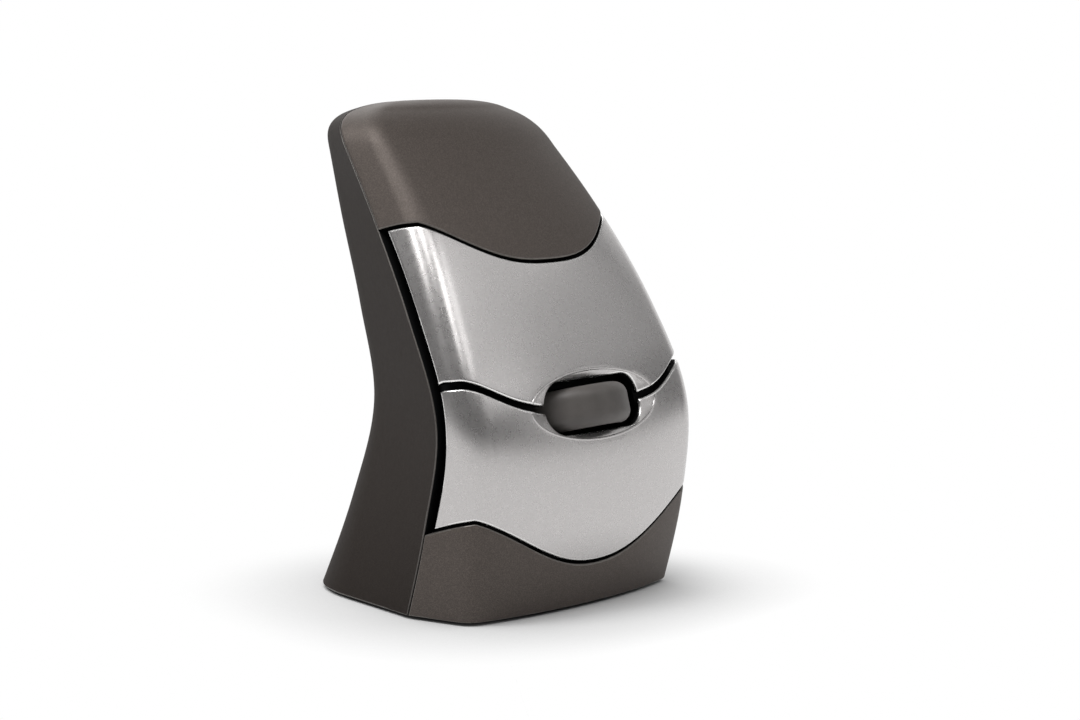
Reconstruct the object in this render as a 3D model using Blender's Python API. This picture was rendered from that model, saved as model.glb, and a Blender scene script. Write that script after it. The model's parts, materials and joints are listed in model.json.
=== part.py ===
"""Upright computer mouse: moulded shells, two hinged buttons, a pressable scroll wheel and what is inside.

Sizes are in millimetres and become metres when a mesh is made. X runs across with the mirror plane at
X = 0, the buttons face -Y, Z is up, and the origin is on the desk under the middle of the mouse.
"""
from math import asin, atan2, ceil, cos, pi, radians, sin, sqrt

import bmesh
import bpy
from mathutils import Matrix, Vector

MM = 0.001

# Outer skin: one value for each loft section, the sections stand STATION_STEP apart from the desk up.
STATION_STEP = 18.0
RIDGE_HALF = (28.75, 30.75, 32.0, 30.0, 26.25, 23.0)     # from the mirror plane to a front ridge
RIDGE_Y = (-21.6, -24.85, -24.85, -17.6, -6.85, 8.4)     # how far back the ridge stands
RIDGE_ROUND = (3.0, 3.6, 4.0, 3.8, 3.4, 2.2)             # length that each ridge is rounded over
FRONT_BOW = (3.6, 4.0, 3.2, 3.4, 4.2, 4.8)               # how far the front bulges past its ridges
FLANK_DEPTH = (13.75, 10.5, 7.0, 8.0, 9.25, 7.4)         # from the ridge back to the side seam
FLANK_OUT = (1.5, 1.5, 1.2, 1.2, 1.5, 1.5)               # how far the flank widens on the way
REAR_Y = (32.15, 25.15, 20.9, 24.65, 29.65, 33.15)       # the back of the mouse
REAR_CORNER = (19.5, 14.75, 11.5, 10.75, 10.5, 10.5)     # half width of the rounded back
DOME_START = 83.0
DOME_RISE = 9.0
DOME_POWER = 3.0
DOME_LEAN = 0.08            # slope of the top down to the back

# Wavy parting lines of the front, crested on the ridges: height at the middle, rise to the crests,
# sharpness, share of a half wave that the rise takes (1 arrives level), fall beyond the crests.
CREST_U = 1.5
CAP_WAVE = (63.2, 7.5, 1.37, 0.75, 0.9)
SPLIT_WAVE = (37.6, 5.8, 2.2, 0.92, 1.0)
SKIRT_WAVE = (8.6, 10.6, 1.1, 0.75, 1.6)
FALL_POWER = 1.4

# Walls and the gaps between the mouldings
SHELL_WALL = 2.0
BUTTON_WALL = 1.6
FRAME_WALL = 1.5
BUTTON_AIR = 1.1            # free travel under the buttons
SEAM = 0.3                  # fixed shells against each other
CAP_GAP = 0.6
SPLIT_GAP = 1.3
SKIRT_GAP = 0.6
SIDE_REVEAL = 2.0           # black line between the button flanks and the rear shell
CLEAR = 0.3                 # seated pieces inside
RUNNING = 0.8               # round everything that moves through an opening

# Base and what stands under it
SHELL_BOTTOM = 0.6
BASE_BOTTOM = 0.5
BASE_THICK = 2.5
FOOT_THICK = 0.8
FOOT_SINK = 0.5

# Wheel slot and the scoop round it
SLOT_Z = 37.6
SLOT_LENGTH = 27.5
SLOT_WIDTH = 10.0
SCOOP_LENGTH = 35.4
SCOOP_WIDTH = 12.9
SCOOP_DEPTH = 2.3           # of the cone that the scoop follows; the slot cuts its floor away
SCOOP_WALL = 0.9            # least wall under the scoop

# Scroll wheel, its carrier and its light gate; depths are measured from the skin inwards
WHEEL_RADIUS = 12.0
WHEEL_WIDTH = 7.6
WHEEL_DEPTH = 8.4
WHEEL_DROP = 0.15           # how far the wheel's middle lies below the slot's
TYRE_THICK = 2.0
TYRE_SHOULDER = 2.3
AXLE_RADIUS = 1.1
HUB_BOSS_RADIUS = 2.6
HUB_RIM = 1.6
HUB_WEB = 1.8
CARRIER_THICK = 4.0
CARRIER_BAR = 2.4
CARRIER_TIP = 0.4           # of the arms past the switch plunger
ARM_HEIGHT = 5.0
GUIDE_RADIUS = 1.2
GATE_RADIUS = 3.6
GATE_THICK = 0.8
GATE_SLOTS = 12
GATE_AIR = 0.4
SENSOR_BLOCK = (4.0, 4.2, 1.5)

# Boards
BOARD_THICK = 1.6
FRONT_BOARD_HALF = 25.0
FRONT_BOARD_LOW = -15.85
FRONT_BOARD_HIGH = 17.65
BOARD_POST_IN = 2.7         # from the front board's side edges
BOARD_POST_UPS = (-12.85, 14.15)
BOARD_POST_RADIUS = 2.2
MAIN_BOARD_Z = 7.2
SWITCH_BOARD = (3.6, 2.2)   # reach of the small board before and behind its screws
POST_RADIUS = 2.2           # of the base's posts under both boards
BOARD_SCREW_REACH = 2.5     # into those posts

# Button hinges and switches
PIN_RADIUS = 1.0
PIN_DEPTH = 6.8             # from the skin to the pin
UPPER_PIN_UP = 21.65
LOWER_PIN_UP = -21.05
LUG_X = 14.0
LUG_WIDTH = 2.4
LUG_RADIUS = 2.6
SWITCH_SIZE = (12.8, 6.5, 5.8)
UPPER_SWITCH = (0.0, 12.65)
LOWER_SWITCH_UP = -11.85
SWITCH_BESIDE = 9.8         # from the post at the board's edge to the lower switch
PLUNGER = (2.8, 1.6)
PLUNGER_OUT = 1.0
PLUNGER_IN = 1.2
PLUNGER_BORE = 2.0
POST_HALF = 1.6
TACT_SIZE = 6.0
TACT_HEIGHT = 2.9
TACT_BESIDE = 0.6           # from the carrier's guide bore to the plunger
TACT_AIR = 1.1
TACT_RADIUS = 1.5

# Screws
SCREW_RADIUS = 1.0
SCREW_HEAD_RADIUS = 2.0
SCREW_HEAD = 1.2
SCREW_HOLE = SCREW_RADIUS + CLEAR
BOSS_RADIUS = 3.0
BOSS_TOP = 11.0
FRONT_BOSS = (20.0, -14.35)
REAR_BOSS = (17.0, 14.65)

# Power: two cells stand behind the boards and go in from below
CELL_RADIUS = 5.25
CELL_LENGTH = 43.7
CELL_NUB = 0.8
CELL_Y = 5.65
HOLDER_WALL = 1.2
SPRING_RADIUS = 2.2
SPRING_WIRE = 0.35
SPRING_TURNS = 3.0
SPRING_HEIGHT = 4.0
DOOR_THICK = 1.3
DOOR_TONGUE = 6.0
POWER_SWITCH = (9.0, 4.0)
POWER_Y = 21.65
KNOB = (3.0, 2.0)
POWER_TRAVEL = 2.0

# Optics
SENSOR_Y = -10.35
WINDOW = (12.0, 8.0)
LENS_PLATE = (16.0, 10.0)
LENS_RADIUS = 2.5
CHIP = (10.0, 12.0, 3.0)

# Derived sizes
TOP_STATION = STATION_STEP * (len(RIDGE_HALF) - 1)
DOME_END = DOME_START + DOME_RISE
BASE_TOP = BASE_BOTTOM + BASE_THICK
FRAME_SINK = BUTTON_WALL + BUTTON_AIR
BASE_INSET = SHELL_WALL + CLEAR
FRAME_BOTTOM = BASE_TOP + CLEAR
CARRIER_FRONT = WHEEL_DEPTH - CARRIER_THICK / 2
CARRIER_BACK = WHEEL_DEPTH + CARRIER_THICK / 2
CARRIER_OPEN_X = WHEEL_RADIUS + 1.0
CARRIER_OPEN_UP = WHEEL_WIDTH / 2 + 0.6
CARRIER_HALF_X = CARRIER_OPEN_X + CARRIER_BAR
CARRIER_HALF_UP = CARRIER_OPEN_UP + CARRIER_BAR
GUIDE_X = CARRIER_HALF_X + GUIDE_RADIUS + CLEAR
TACT_X = GUIDE_X + GUIDE_RADIUS + CLEAR + TACT_BESIDE + TACT_RADIUS
TACT_FRONT = CARRIER_BACK + CLEAR + TACT_AIR
CARRIER_REACH = TACT_X + TACT_RADIUS + CARRIER_TIP
BOARD_DEPTH = TACT_FRONT + TACT_HEIGHT + CLEAR
BOARD_POST_X = FRONT_BOARD_HALF - BOARD_POST_IN
LOWER_SWITCH = (BOARD_POST_X - SWITCH_BESIDE, LOWER_SWITCH_UP)
SWITCH_FRONT = BOARD_DEPTH - CLEAR - SWITCH_SIZE[1]
POST_END = SWITCH_FRONT - PLUNGER_OUT - CLEAR
GATE_UP = -(CARRIER_HALF_UP + RUNNING + SENSOR_BLOCK[2] + GATE_AIR + GATE_THICK / 2)
CELL_X = CELL_RADIUS + 0.35
HOLDER_HALF = (CELL_X + CELL_RADIUS + CLEAR + HOLDER_WALL, CELL_RADIUS + CLEAR + HOLDER_WALL)
DOOR_TOP = BASE_BOTTOM + DOOR_THICK
CELL_BOTTOM = BASE_TOP
CELL_TOP = CELL_BOTTOM + CELL_LENGTH + CELL_NUB
HOLDER_TOP = CELL_TOP + SPRING_HEIGHT + 2 * CLEAR + HOLDER_WALL


# ---------------------------------------------------------------- outer skin

def loft(values, z):
    """Value at height z on a smooth curve through one value for each section."""
    last = len(values) - 1
    place = min(max(z / STATION_STEP, 0.0), last - 1e-9)
    low = int(place)
    t = place - low

    def slope(k):
        if k == 0:
            return 1.5 * (values[1] - values[0]) - 0.25 * (values[2] - values[0])
        if k == last:
            return 1.5 * (values[k] - values[k - 1]) - 0.25 * (values[k] - values[k - 2])
        return 0.5 * (values[k + 1] - values[k - 1])

    start, end = values[low], values[low + 1]
    rise = end - start
    return (start + slope(low) * t + (3 * rise - 2 * slope(low) - slope(low + 1)) * t ** 2
            + (slope(low) + slope(low + 1) - 2 * rise) * t ** 3)


def quadratic(a, b, c, t):
    return a * (1 - t) ** 2 + b * (2 * t * (1 - t)) + c * t ** 2


def outline(u, z):
    """Point of the level outline. u counts 0 front middle, 1-2 ridge, 3 side seam, 4-5 rounded back;
    negative u is the -X side, and the count wraps round at the back."""
    u = (u + 5.0) % 10.0 - 5.0
    side = -1.0 if u < 0 else 1.0
    u = abs(u)
    half = loft(RIDGE_HALF, z)
    bow = loft(FRONT_BOW, z)
    ridge = Vector((half, loft(RIDGE_Y, z)))
    front = Vector((0.0, ridge.y - bow))
    seam = ridge + Vector((loft(FLANK_OUT, z), loft(FLANK_DEPTH, z)))
    lean = Vector((half, 2 * bow)).normalized()
    start = ridge - lean * loft(RIDGE_ROUND, z)
    end = ridge + (seam - ridge).normalized() * loft(RIDGE_ROUND, z)
    if u <= 1:
        handle = start.x - (start.y - front.y) * lean.x / lean.y
        x = u * start.x
        t = x / (handle + sqrt(handle ** 2 + (start.x - 2 * handle) * x))
        point = quadratic(front, Vector((handle, front.y)), start, t)
    elif u <= 2:
        point = quadratic(start, ridge, end, u - 1)
    elif u <= 3:
        point = end.lerp(seam, u - 2)
    else:
        corner = Vector((loft(REAR_CORNER, z), loft(REAR_Y, z)))
        turn = corner - (corner - seam).normalized() * corner.x
        if u <= 4:
            point = seam.lerp(turn, u - 3)
        else:
            point = quadratic(turn, corner, Vector((0.0, corner.y)), u - 4)
    return Vector((side * point.x, point.y))


def skin(u, v, pole_shift=0.0):
    """Point of the outer skin. v is the height up to DOME_START and then the way over the dome."""
    climb = max(v - DOME_START, 0.0) / DOME_RISE * pi / 2
    lift = sin(climb) ** (2 / DOME_POWER)
    shrink = max(cos(climb), 0.0) ** (2 / DOME_POWER)
    z = min(v, DOME_START) + DOME_RISE * lift
    flat = outline(u, min(z, TOP_STATION))
    pole_y = outline(3.0, TOP_STATION).y + pole_shift
    back = (flat.y - pole_y) * shrink
    return Vector((flat.x * shrink, pole_y + back, z - DOME_LEAN * lift * back))


def normal(u, v, low, high):
    """Outward direction of the skin between the outline positions low and high."""
    if v > DOME_END - 0.4:
        return Vector((0.0, 0.0, 1.0))
    across = skin(min(u + 0.02, high), v) - skin(max(u - 0.02, low), v)
    along = skin(u, v + 0.2) - skin(u, v - 0.2)
    return across.cross(along).normalized()


def front_normal(u, v):
    return normal(u, v, -3.0, 3.0)


def seam_offset(u, v):
    """Inward vector for a wall of 1 on the mitre that both sides of the side seam share."""
    edge = 3.0 if u % 10.0 < 5.0 else -3.0
    ahead = normal(edge, v, -3.0, 3.0)
    behind = normal(edge % 10.0, v, 3.0, 7.0)
    mitre = (ahead + behind).normalized()
    return -mitre / mitre.dot(ahead)


def flank_u(v, reveal):
    """Outline position on the flank that stops short of the side seam by reveal."""
    z = min(v, TOP_STATION)
    return 3.0 - reveal / (outline(3.0, z) - outline(2.0, z)).length


def side_u(v, reveal):
    """Outline position on the side, reveal behind the side seam."""
    z = min(v, TOP_STATION)
    return 3.0 + reveal / (outline(4.0, z) - outline(3.0, z)).length


def wave(u, line):
    """Height of a wavy parting line at outline position u."""
    middle, rise, power, turn, fall = line
    crest = middle + rise
    across = min(abs(outline(u, crest).x) / outline(CREST_U, crest).x, 1.0)
    back = max(abs(u) - CREST_U, 0.0)
    sweep = (1 - cos(pi * turn * across ** power)) / (1 - cos(pi * turn))
    return middle + rise * sweep - fall * back ** FALL_POWER


# ---------------------------------------------------------------- mesh helpers

def material(name, colour, roughness, metallic=0.0):
    made = bpy.data.materials.get(name)
    if made is None:
        made = bpy.data.materials.new(name)
        made.use_nodes = True
        shader = made.node_tree.nodes["Principled BSDF"]
        shader.inputs["Base Color"].default_value = (*colour, 1.0)
        shader.inputs["Roughness"].default_value = roughness
        shader.inputs["Metallic"].default_value = metallic
        made.diffuse_color = (*colour, 1.0)
    return made


def make_object(name, shape, finish, frame=None, pivot=None):
    """Object from a bmesh in millimetres, given in frame; its origin goes to pivot, in the same frame."""
    pivot = Vector(pivot) if pivot is not None else Vector((0.0, 0.0, 0.0))
    bmesh.ops.translate(shape, verts=shape.verts, vec=-pivot)
    bmesh.ops.scale(shape, verts=shape.verts, vec=(MM, MM, MM))
    mesh = bpy.data.meshes.new(name)
    shape.to_mesh(mesh)
    shape.free()
    if finish is not None:
        mesh.materials.append(finish)
    mesh.shade_smooth()
    mesh.set_sharp_from_angle(angle=radians(35))
    made = bpy.data.objects.new(name, mesh)
    bpy.context.collection.objects.link(made)
    frame = frame or Matrix.Identity(4)
    made.location = (frame @ pivot) * MM
    made.rotation_euler = frame.to_euler()
    return made


def make_tool(name, shape, frame=None):
    """Hidden object that another one is cut with or joined to."""
    made = make_object(name, shape, None, frame)
    made.hide_render = True
    made.display_type = 'WIRE'
    return made


def combine(target, tool, operation):
    step = target.modifiers.new(tool.name, 'BOOLEAN')
    step.operation = operation
    step.solver = 'EXACT'
    step.object = tool


def add_box(shape, low, high):
    low, high = Vector(low), Vector(high)
    size = high - low
    place = Matrix.Translation((low + high) / 2) @ Matrix.Diagonal((size.x, size.y, size.z, 1.0))
    bmesh.ops.create_cube(shape, size=1.0, matrix=place)


def add_rod(shape, start, end, radius, end_radius=None, sides=16):
    start, end = Vector(start), Vector(end)
    turn = (end - start).to_track_quat('Z', 'Y').to_matrix().to_4x4()
    place = Matrix.Translation((start + end) / 2) @ turn
    bmesh.ops.create_cone(shape, cap_ends=True, segments=sides, radius1=radius,
                          radius2=radius if end_radius is None else end_radius,
                          depth=(end - start).length, matrix=place)


def add_prism(shape, corners, low, high, axis='Z'):
    """Prism over a closed list of 2-D corners, run counter-clockwise when seen against the axis."""
    def place(a, b, c):
        return (a, b, c) if axis == 'Z' else (c, a, b)
    bottom = [shape.verts.new(place(a, b, low)) for a, b in corners]
    top = [shape.verts.new(place(a, b, high)) for a, b in corners]
    count = len(corners)
    shape.faces.new(reversed(bottom))
    shape.faces.new(top)
    for i in range(count):
        j = (i + 1) % count
        shape.faces.new((bottom[i], bottom[j], top[j], top[i]))


def rounded_rectangle(half_x, half_y, radius, centre=(0.0, 0.0), steps=4):
    corners = []
    for quarter, (sx, sy) in enumerate(((1, 1), (-1, 1), (-1, -1), (1, -1))):
        for k in range(steps + 1):
            angle = (quarter + k / steps) * pi / 2
            corners.append((centre[0] + sx * (half_x - radius) + radius * cos(angle),
                            centre[1] + sy * (half_y - radius) + radius * sin(angle)))
    return corners


def add_lathe(shape, profile, sides):
    """Closed ring turned about Z from a counter-clockwise list of (radius, height)."""
    rings = []
    for k in range(sides):
        angle = 2 * pi * k / sides
        rings.append([shape.verts.new((r * cos(angle), r * sin(angle), z)) for r, z in profile])
    count = len(profile)
    for k in range(sides):
        here, there = rings[k], rings[(k + 1) % sides]
        for i in range(count):
            j = (i + 1) % count
            shape.faces.new((here[i], there[i], there[j], here[j]))


def add_skin(shape, rows, outside, inside):
    """Closed moulding over a grid of (u, v): an outer and an inner face, joined all round the rim."""
    merged = {}
    pairs = []

    def corner(u, v):
        point = outside(u, v)
        key = tuple(round(value, 4) for value in point)
        if key not in merged:
            merged[key] = len(pairs)
            pairs.append((shape.verts.new(point), shape.verts.new(inside(u, v))))
        return merged[key]

    grid = [[corner(u, v) for u, v in row] for row in rows]
    edges = set()
    for below, above in zip(grid[:-1], grid[1:]):
        for c in range(len(below) - 1):
            loop = []
            for index in (below[c], below[c + 1], above[c + 1], above[c]):
                if index not in loop:
                    loop.append(index)
            if len(loop) < 3:
                continue
            shape.faces.new([pairs[i][0] for i in loop])
            shape.faces.new([pairs[i][1] for i in reversed(loop)])
            edges.update((loop[i - 1], loop[i]) for i in range(len(loop)))
    for a, b in edges:
        if (b, a) not in edges:
            shape.faces.new((pairs[b][0], pairs[a][0], pairs[a][1], pairs[b][1]))


def blend_rows(first, last, shares):
    """Rows between two lines of (u, v), one for each share from 0 at the first to 1 at the last."""
    return [[(a[0] + (b[0] - a[0]) * s, a[1] + (b[1] - a[1]) * s) for a, b in zip(first, last)]
            for s in shares]


def steps(count, start=0.0, end=1.0):
    return [start + (end - start) * k / count for k in range(count + 1)]


def mirrored(half):
    """Whole row from its +X half, which starts on the mirror plane."""
    return [(-u, v) for u, v in reversed(half[1:])] + half


# ---------------------------------------------------------------- face frame

def front_slope():
    rise = skin(0.0, SLOT_Z + 1.0) - skin(0.0, SLOT_Z - 1.0)
    return atan2(rise.y, rise.z)


TILT = front_slope()
# Frame of the wheel and the front board: X across, Y inwards from the skin, Z up along the face.
FACE = Matrix.Translation(skin(0.0, SLOT_Z - WHEEL_DROP)) @ Matrix.Rotation(-TILT, 4, 'X')


def skin_depth(x, up):
    """Depth in the face frame at which the line over (x, up) meets the skin."""
    depth = 0.0
    for _ in range(12):
        point = FACE @ Vector((x, depth, up))
        limit = outline(1.0, point.z)
        depth += (outline(abs(x) / limit.x, point.z).y - point.y) / cos(TILT)
    return depth


def deepest_skin(xs, ups):
    return max(skin_depth(x, up) for x in xs for up in ups)


# ---------------------------------------------------------------- fixed shells

DARK = material("dark_metallic_paint", (0.09, 0.08, 0.075), 0.38, 0.35)
SIDE = material("dark_soft_paint", (0.055, 0.05, 0.047), 0.45, 0.25)
SILVER = material("silver_metallic_paint", (0.52, 0.51, 0.50), 0.32, 0.6)
BLACK = material("black_plastic", (0.012, 0.012, 0.013), 0.5)
RUBBER = material("wheel_rubber", (0.06, 0.058, 0.055), 0.7)
WHITE = material("white_plastic", (0.75, 0.74, 0.72), 0.4)
STEEL = material("bright_steel", (0.62, 0.61, 0.6), 0.3, 1.0)
BOARD = material("circuit_board", (0.02, 0.16, 0.07), 0.45)
CHIP_BODY = material("chip_epoxy", (0.02, 0.02, 0.022), 0.4)
CLEAR_PLASTIC = material("clear_plastic", (0.8, 0.82, 0.84), 0.08)
FOOT = material("low_friction_pad", (0.1, 0.1, 0.1), 0.35)
CELL = material("cell_jacket", (0.28, 0.29, 0.31), 0.35, 0.4)
RED = material("red_plastic", (0.5, 0.03, 0.02), 0.4)
CABLE = material("ribbon_cable_jacket", (0.55, 0.55, 0.53), 0.5)


def front_half(line, columns, reveal):
    """Half row along a parting line; line gives the height at an outline position."""
    row = []
    for c in columns:
        u = c if c <= 2 else 2 + (c - 2) * (flank_u(line(c), reveal) - 2)
        row.append((u, line(u)))
    return row


def front_columns(front=5, ridge=3, flank=2):
    return steps(front) + steps(ridge, 1.0, 2.0)[1:] + steps(flank, 2.0, 3.0)[1:]


def make_upper_cover():
    columns = front_columns()
    low = mirrored(front_half(lambda u: wave(u, CAP_WAVE) + CAP_GAP / 2, columns, SEAM / 2))
    high = mirrored(front_half(lambda u: DOME_START, columns, SEAM / 2))
    rows = blend_rows(low, high, steps(6))
    for v in steps(9, DOME_START, DOME_END)[1:]:
        rows.append([(u, v) for u, _ in high])
    shift = -SEAM / 2

    def inside(u, v):
        inward = seam_offset(u, v) if abs(u) > 2.9 else -front_normal(u, v)
        return skin(u, v, shift) + inward * SHELL_WALL

    shape = bmesh.new()
    add_skin(shape, rows, lambda u, v: skin(u, v, shift), inside)
    return make_object("upper_cover", shape, DARK)


def level_bottom(point):
    """The same point, but no lower than the shells' bottom edge."""
    return Vector((point.x, point.y, max(point.z, SHELL_BOTTOM)))


def make_lower_cover():
    columns = front_columns()
    low = mirrored(front_half(lambda u: SHELL_BOTTOM, columns, SEAM / 2))
    high = mirrored(front_half(lambda u: wave(u, SKIRT_WAVE) - SKIRT_GAP / 2, columns, SEAM / 2))

    def inside(u, v):
        inward = seam_offset(u, v) if abs(u) > 2.9 else -front_normal(u, v)
        return level_bottom(skin(u, v) + inward * SHELL_WALL)

    shape = bmesh.new()
    add_skin(shape, blend_rows(low, high, steps(4)), skin, inside)
    return make_object("lower_cover", shape, DARK)


def rear_row(v, side=4, back=4):
    start = side_u(v, SEAM / 2)
    half = steps(side, start, 4.0) + steps(back, 4.0, 5.0)[1:]
    return [(u, v) for u in half] + [(10.0 - u, v) for u in reversed(half[:-1])]


def wall_at(y, z):
    """Half width of the skin at a place behind the side seam."""
    low, high = 3.0, 5.0
    for _ in range(24):
        middle = (low + high) / 2
        if outline(middle, z).y < y:
            low = middle
        else:
            high = middle
    return outline(low, z).x


def make_rear_shell():
    rows = [rear_row(v) for v in steps(11, SHELL_BOTTOM, DOME_START)]
    for v in steps(9, DOME_START, DOME_END)[1:]:
        rows.append([(u, v) for u, _ in rear_row(DOME_START)])
    shift = SEAM / 2

    def inside(u, v):
        at_seam = u < 3.1 or u > 6.9
        inward = seam_offset(u, v) if at_seam else -normal(u, v, 3.0, 7.0)
        return level_bottom(skin(u, v, shift) + inward * SHELL_WALL)

    shape = bmesh.new()
    add_skin(shape, rows, lambda u, v: skin(u, v, shift), inside)
    shell = make_object("rear_shell", shape, SIDE)

    bosses = bmesh.new()
    x, y = REAR_BOSS
    rib = SHELL_WALL * 0.4
    reach = min(wall_at(y, z) for z in (FRAME_BOTTOM, BOSS_TOP)) - SHELL_WALL / 2
    for side in (-1, 1):
        add_rod(bosses, (side * x, y, FRAME_BOTTOM), (side * x, y, BOSS_TOP), BOSS_RADIUS)
    combine(shell, make_tool("rear_boss_tool", bosses), 'UNION')
    ribs = bmesh.new()
    for side in (-1, 1):
        inner, outer = sorted((side * x, side * reach))
        add_box(ribs, (inner, y - rib, FRAME_BOTTOM + 1.0), (outer, y + rib, BOSS_TOP - 1.0))
    combine(shell, make_tool("rear_rib_tool", ribs), 'UNION')
    combine(shell, make_tool("rear_hole_tool", screw_holes(REAR_BOSS)), 'DIFFERENCE')
    return shell


def screw_holes(place):
    holes = bmesh.new()
    for side in (-1, 1):
        add_rod(holes, (side * place[0], place[1], FRAME_BOTTOM - 1.0),
                (side * place[0], place[1], BOSS_TOP - 2.0), SCREW_HOLE, sides=12)
    return holes


# ---------------------------------------------------------------- buttons

def scoop(u, v):
    """Depth of the finger scoop round the wheel slot."""
    x = outline(u, v).x
    up = (v - SLOT_Z) / cos(TILT)
    reach = (2 * x / SCOOP_LENGTH) ** 2 + (2 * up / SCOOP_WIDTH) ** 2
    return SCOOP_DEPTH * max(1.0 - reach, 0.0)


def slot_edge(sign):
    """Half of the slot's edge above (+1) or below (-1) its middle, from the middle to the split line."""
    radius = SLOT_WIDTH / 2
    straight = SLOT_LENGTH / 2 - radius
    angle = 0.0
    for _ in range(8):
        x = straight + radius * cos(angle)
        rise = wave(x / outline(1.0, SLOT_Z).x, SPLIT_WAVE) + sign * SPLIT_GAP / 2 - SLOT_Z
        angle = asin(sign * rise / (radius * cos(TILT)))
    places = [(x, radius) for x in steps(2, 0.0, straight)]
    for a in steps(4, pi / 2, angle)[1:]:
        places.append((straight + radius * cos(a), radius * sin(a)))
    row = []
    for x, up in places:
        z = SLOT_Z + sign * up * cos(TILT)
        row.append((x / outline(1.0, z).x, z))
    return row


def scoop_edge(u, sign):
    """Height of the scoop's rim over outline position u, or of the slot's middle outside it."""
    x = outline(u, SLOT_Z).x
    rest = max(1.0 - (2 * x / SCOOP_LENGTH) ** 2, 0.0)
    return SLOT_Z + sign * SCOOP_WIDTH / 2 * sqrt(rest) * cos(TILT)


def button_rows(sign, far_line):
    """Rows of a button from the slot and split line to its far parting line."""
    near = slot_edge(sign)
    last = near[-1][0]
    outer = [last + (1.0 - last) * s for s in steps(4)[1:]] + front_columns(1)[2:]
    near += front_half(lambda u: wave(u, SPLIT_WAVE) + sign * SPLIT_GAP / 2, outer, SIDE_REVEAL)
    front_count = len(near) - len(front_columns(1)[2:]) - 1
    rim = []
    for u, v in near:
        far = v + sign * 0.6
        if u < 1:
            far = max(scoop_edge(u, sign) * sign, far * sign) * sign
        rim.append((u, far))
    spread = steps(front_count) + front_columns(1)[2:]
    far_row = front_half(far_line, spread, SIDE_REVEAL)
    rows = [near] + blend_rows(rim, far_row, [0.0, 0.1] + steps(4, 0.25, 1.0))
    rows = [mirrored(row) for row in rows]
    return rows if sign > 0 else rows[::-1]


def hinge_centre(up):
    return skin_depth(LUG_X, up) + PIN_DEPTH


def add_ear(shape, x, up, start):
    """Plate of a hinge, from a wall at depth start to round its pin."""
    depth = hinge_centre(up)
    corners = [(start, up + LUG_RADIUS), (start, up - LUG_RADIUS)]
    for a in steps(8, -pi / 2, pi / 2):
        corners.append((depth + LUG_RADIUS * cos(a), up + LUG_RADIUS * sin(a)))
    add_prism(shape, corners, x - LUG_WIDTH / 2, x + LUG_WIDTH / 2, axis='X')


def ear_x():
    return LUG_X + LUG_WIDTH + RUNNING


def make_button(name, sign, far_line, pin_up, switch):
    shape = bmesh.new()
    add_skin(shape, button_rows(sign, far_line),
             lambda u, v: skin(u, v) - front_normal(u, v) * scoop(u, v),
             lambda u, v: skin(u, v) - front_normal(u, v) * max(scoop(u, v) + SCOOP_WALL, BUTTON_WALL))
    centre = FACE @ Vector((0.0, hinge_centre(pin_up), pin_up))
    button = make_object(name, shape, SILVER, pivot=centre)

    x, up = switch
    ups = (pin_up - LUG_RADIUS, pin_up + LUG_RADIUS)
    lugs = bmesh.new()
    for side in (-1, 1):
        start = deepest_skin([LUG_X - LUG_WIDTH / 2, LUG_X + LUG_WIDTH / 2], ups) + BUTTON_WALL / 4
        add_ear(lugs, side * LUG_X, pin_up, start)
    corners = [x - POST_HALF, x + POST_HALF], [up - POST_HALF, up + POST_HALF]
    start = deepest_skin(*corners) + BUTTON_WALL / 4
    add_box(lugs, (x - POST_HALF, start, up - POST_HALF), (x + POST_HALF, POST_END, up + POST_HALF))
    combine(button, make_tool(name + "_lug_tool", lugs, FACE), 'UNION')
    combine(button, make_tool(name + "_pin_tool", pin_hole(pin_up), FACE), 'DIFFERENCE')
    return button


def pin_hole(up):
    hole = bmesh.new()
    reach = ear_x() + LUG_WIDTH
    depth = hinge_centre(up)
    add_rod(hole, (-reach, depth, up), (reach, depth, up), PIN_RADIUS + CLEAR, sides=16)
    return hole


def make_hinge_pin(name, up):
    shape = bmesh.new()
    reach = ear_x() + LUG_WIDTH / 2 + 0.5
    depth = hinge_centre(up)
    add_rod(shape, (-reach, depth, up), (reach, depth, up), PIN_RADIUS, sides=16)
    return make_object(name, shape, STEEL, FACE)


# ---------------------------------------------------------------- inner frame

def make_front_frame():
    columns = front_columns(5, 2, 1)
    low = mirrored(front_half(lambda u: FRAME_BOTTOM, columns, 0.4))
    high = mirrored(front_half(lambda u: wave(u, CAP_WAVE) + 4.0, columns, 0.4))
    shape = bmesh.new()
    add_skin(shape, blend_rows(low, high, steps(8)),
             lambda u, v: skin(u, v) - front_normal(u, v) * FRAME_SINK,
             lambda u, v: skin(u, v) - front_normal(u, v) * (FRAME_SINK + FRAME_WALL))
    frame = make_object("front_frame", shape, BLACK)
    combine(frame, make_tool("frame_window_tool", frame_windows(), FACE), 'DIFFERENCE')
    combine(frame, make_tool("frame_post_tool", frame_posts(), FACE), 'UNION')
    feet, ribs = frame_feet()
    combine(frame, make_tool("frame_foot_tool", feet), 'UNION')
    combine(frame, make_tool("frame_rib_tool", ribs), 'UNION')
    combine(frame, make_tool("frame_bore_tool", frame_bores(), FACE), 'DIFFERENCE')
    combine(frame, make_tool("frame_screw_tool", screw_holes(FRONT_BOSS)), 'DIFFERENCE')
    return frame


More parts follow.
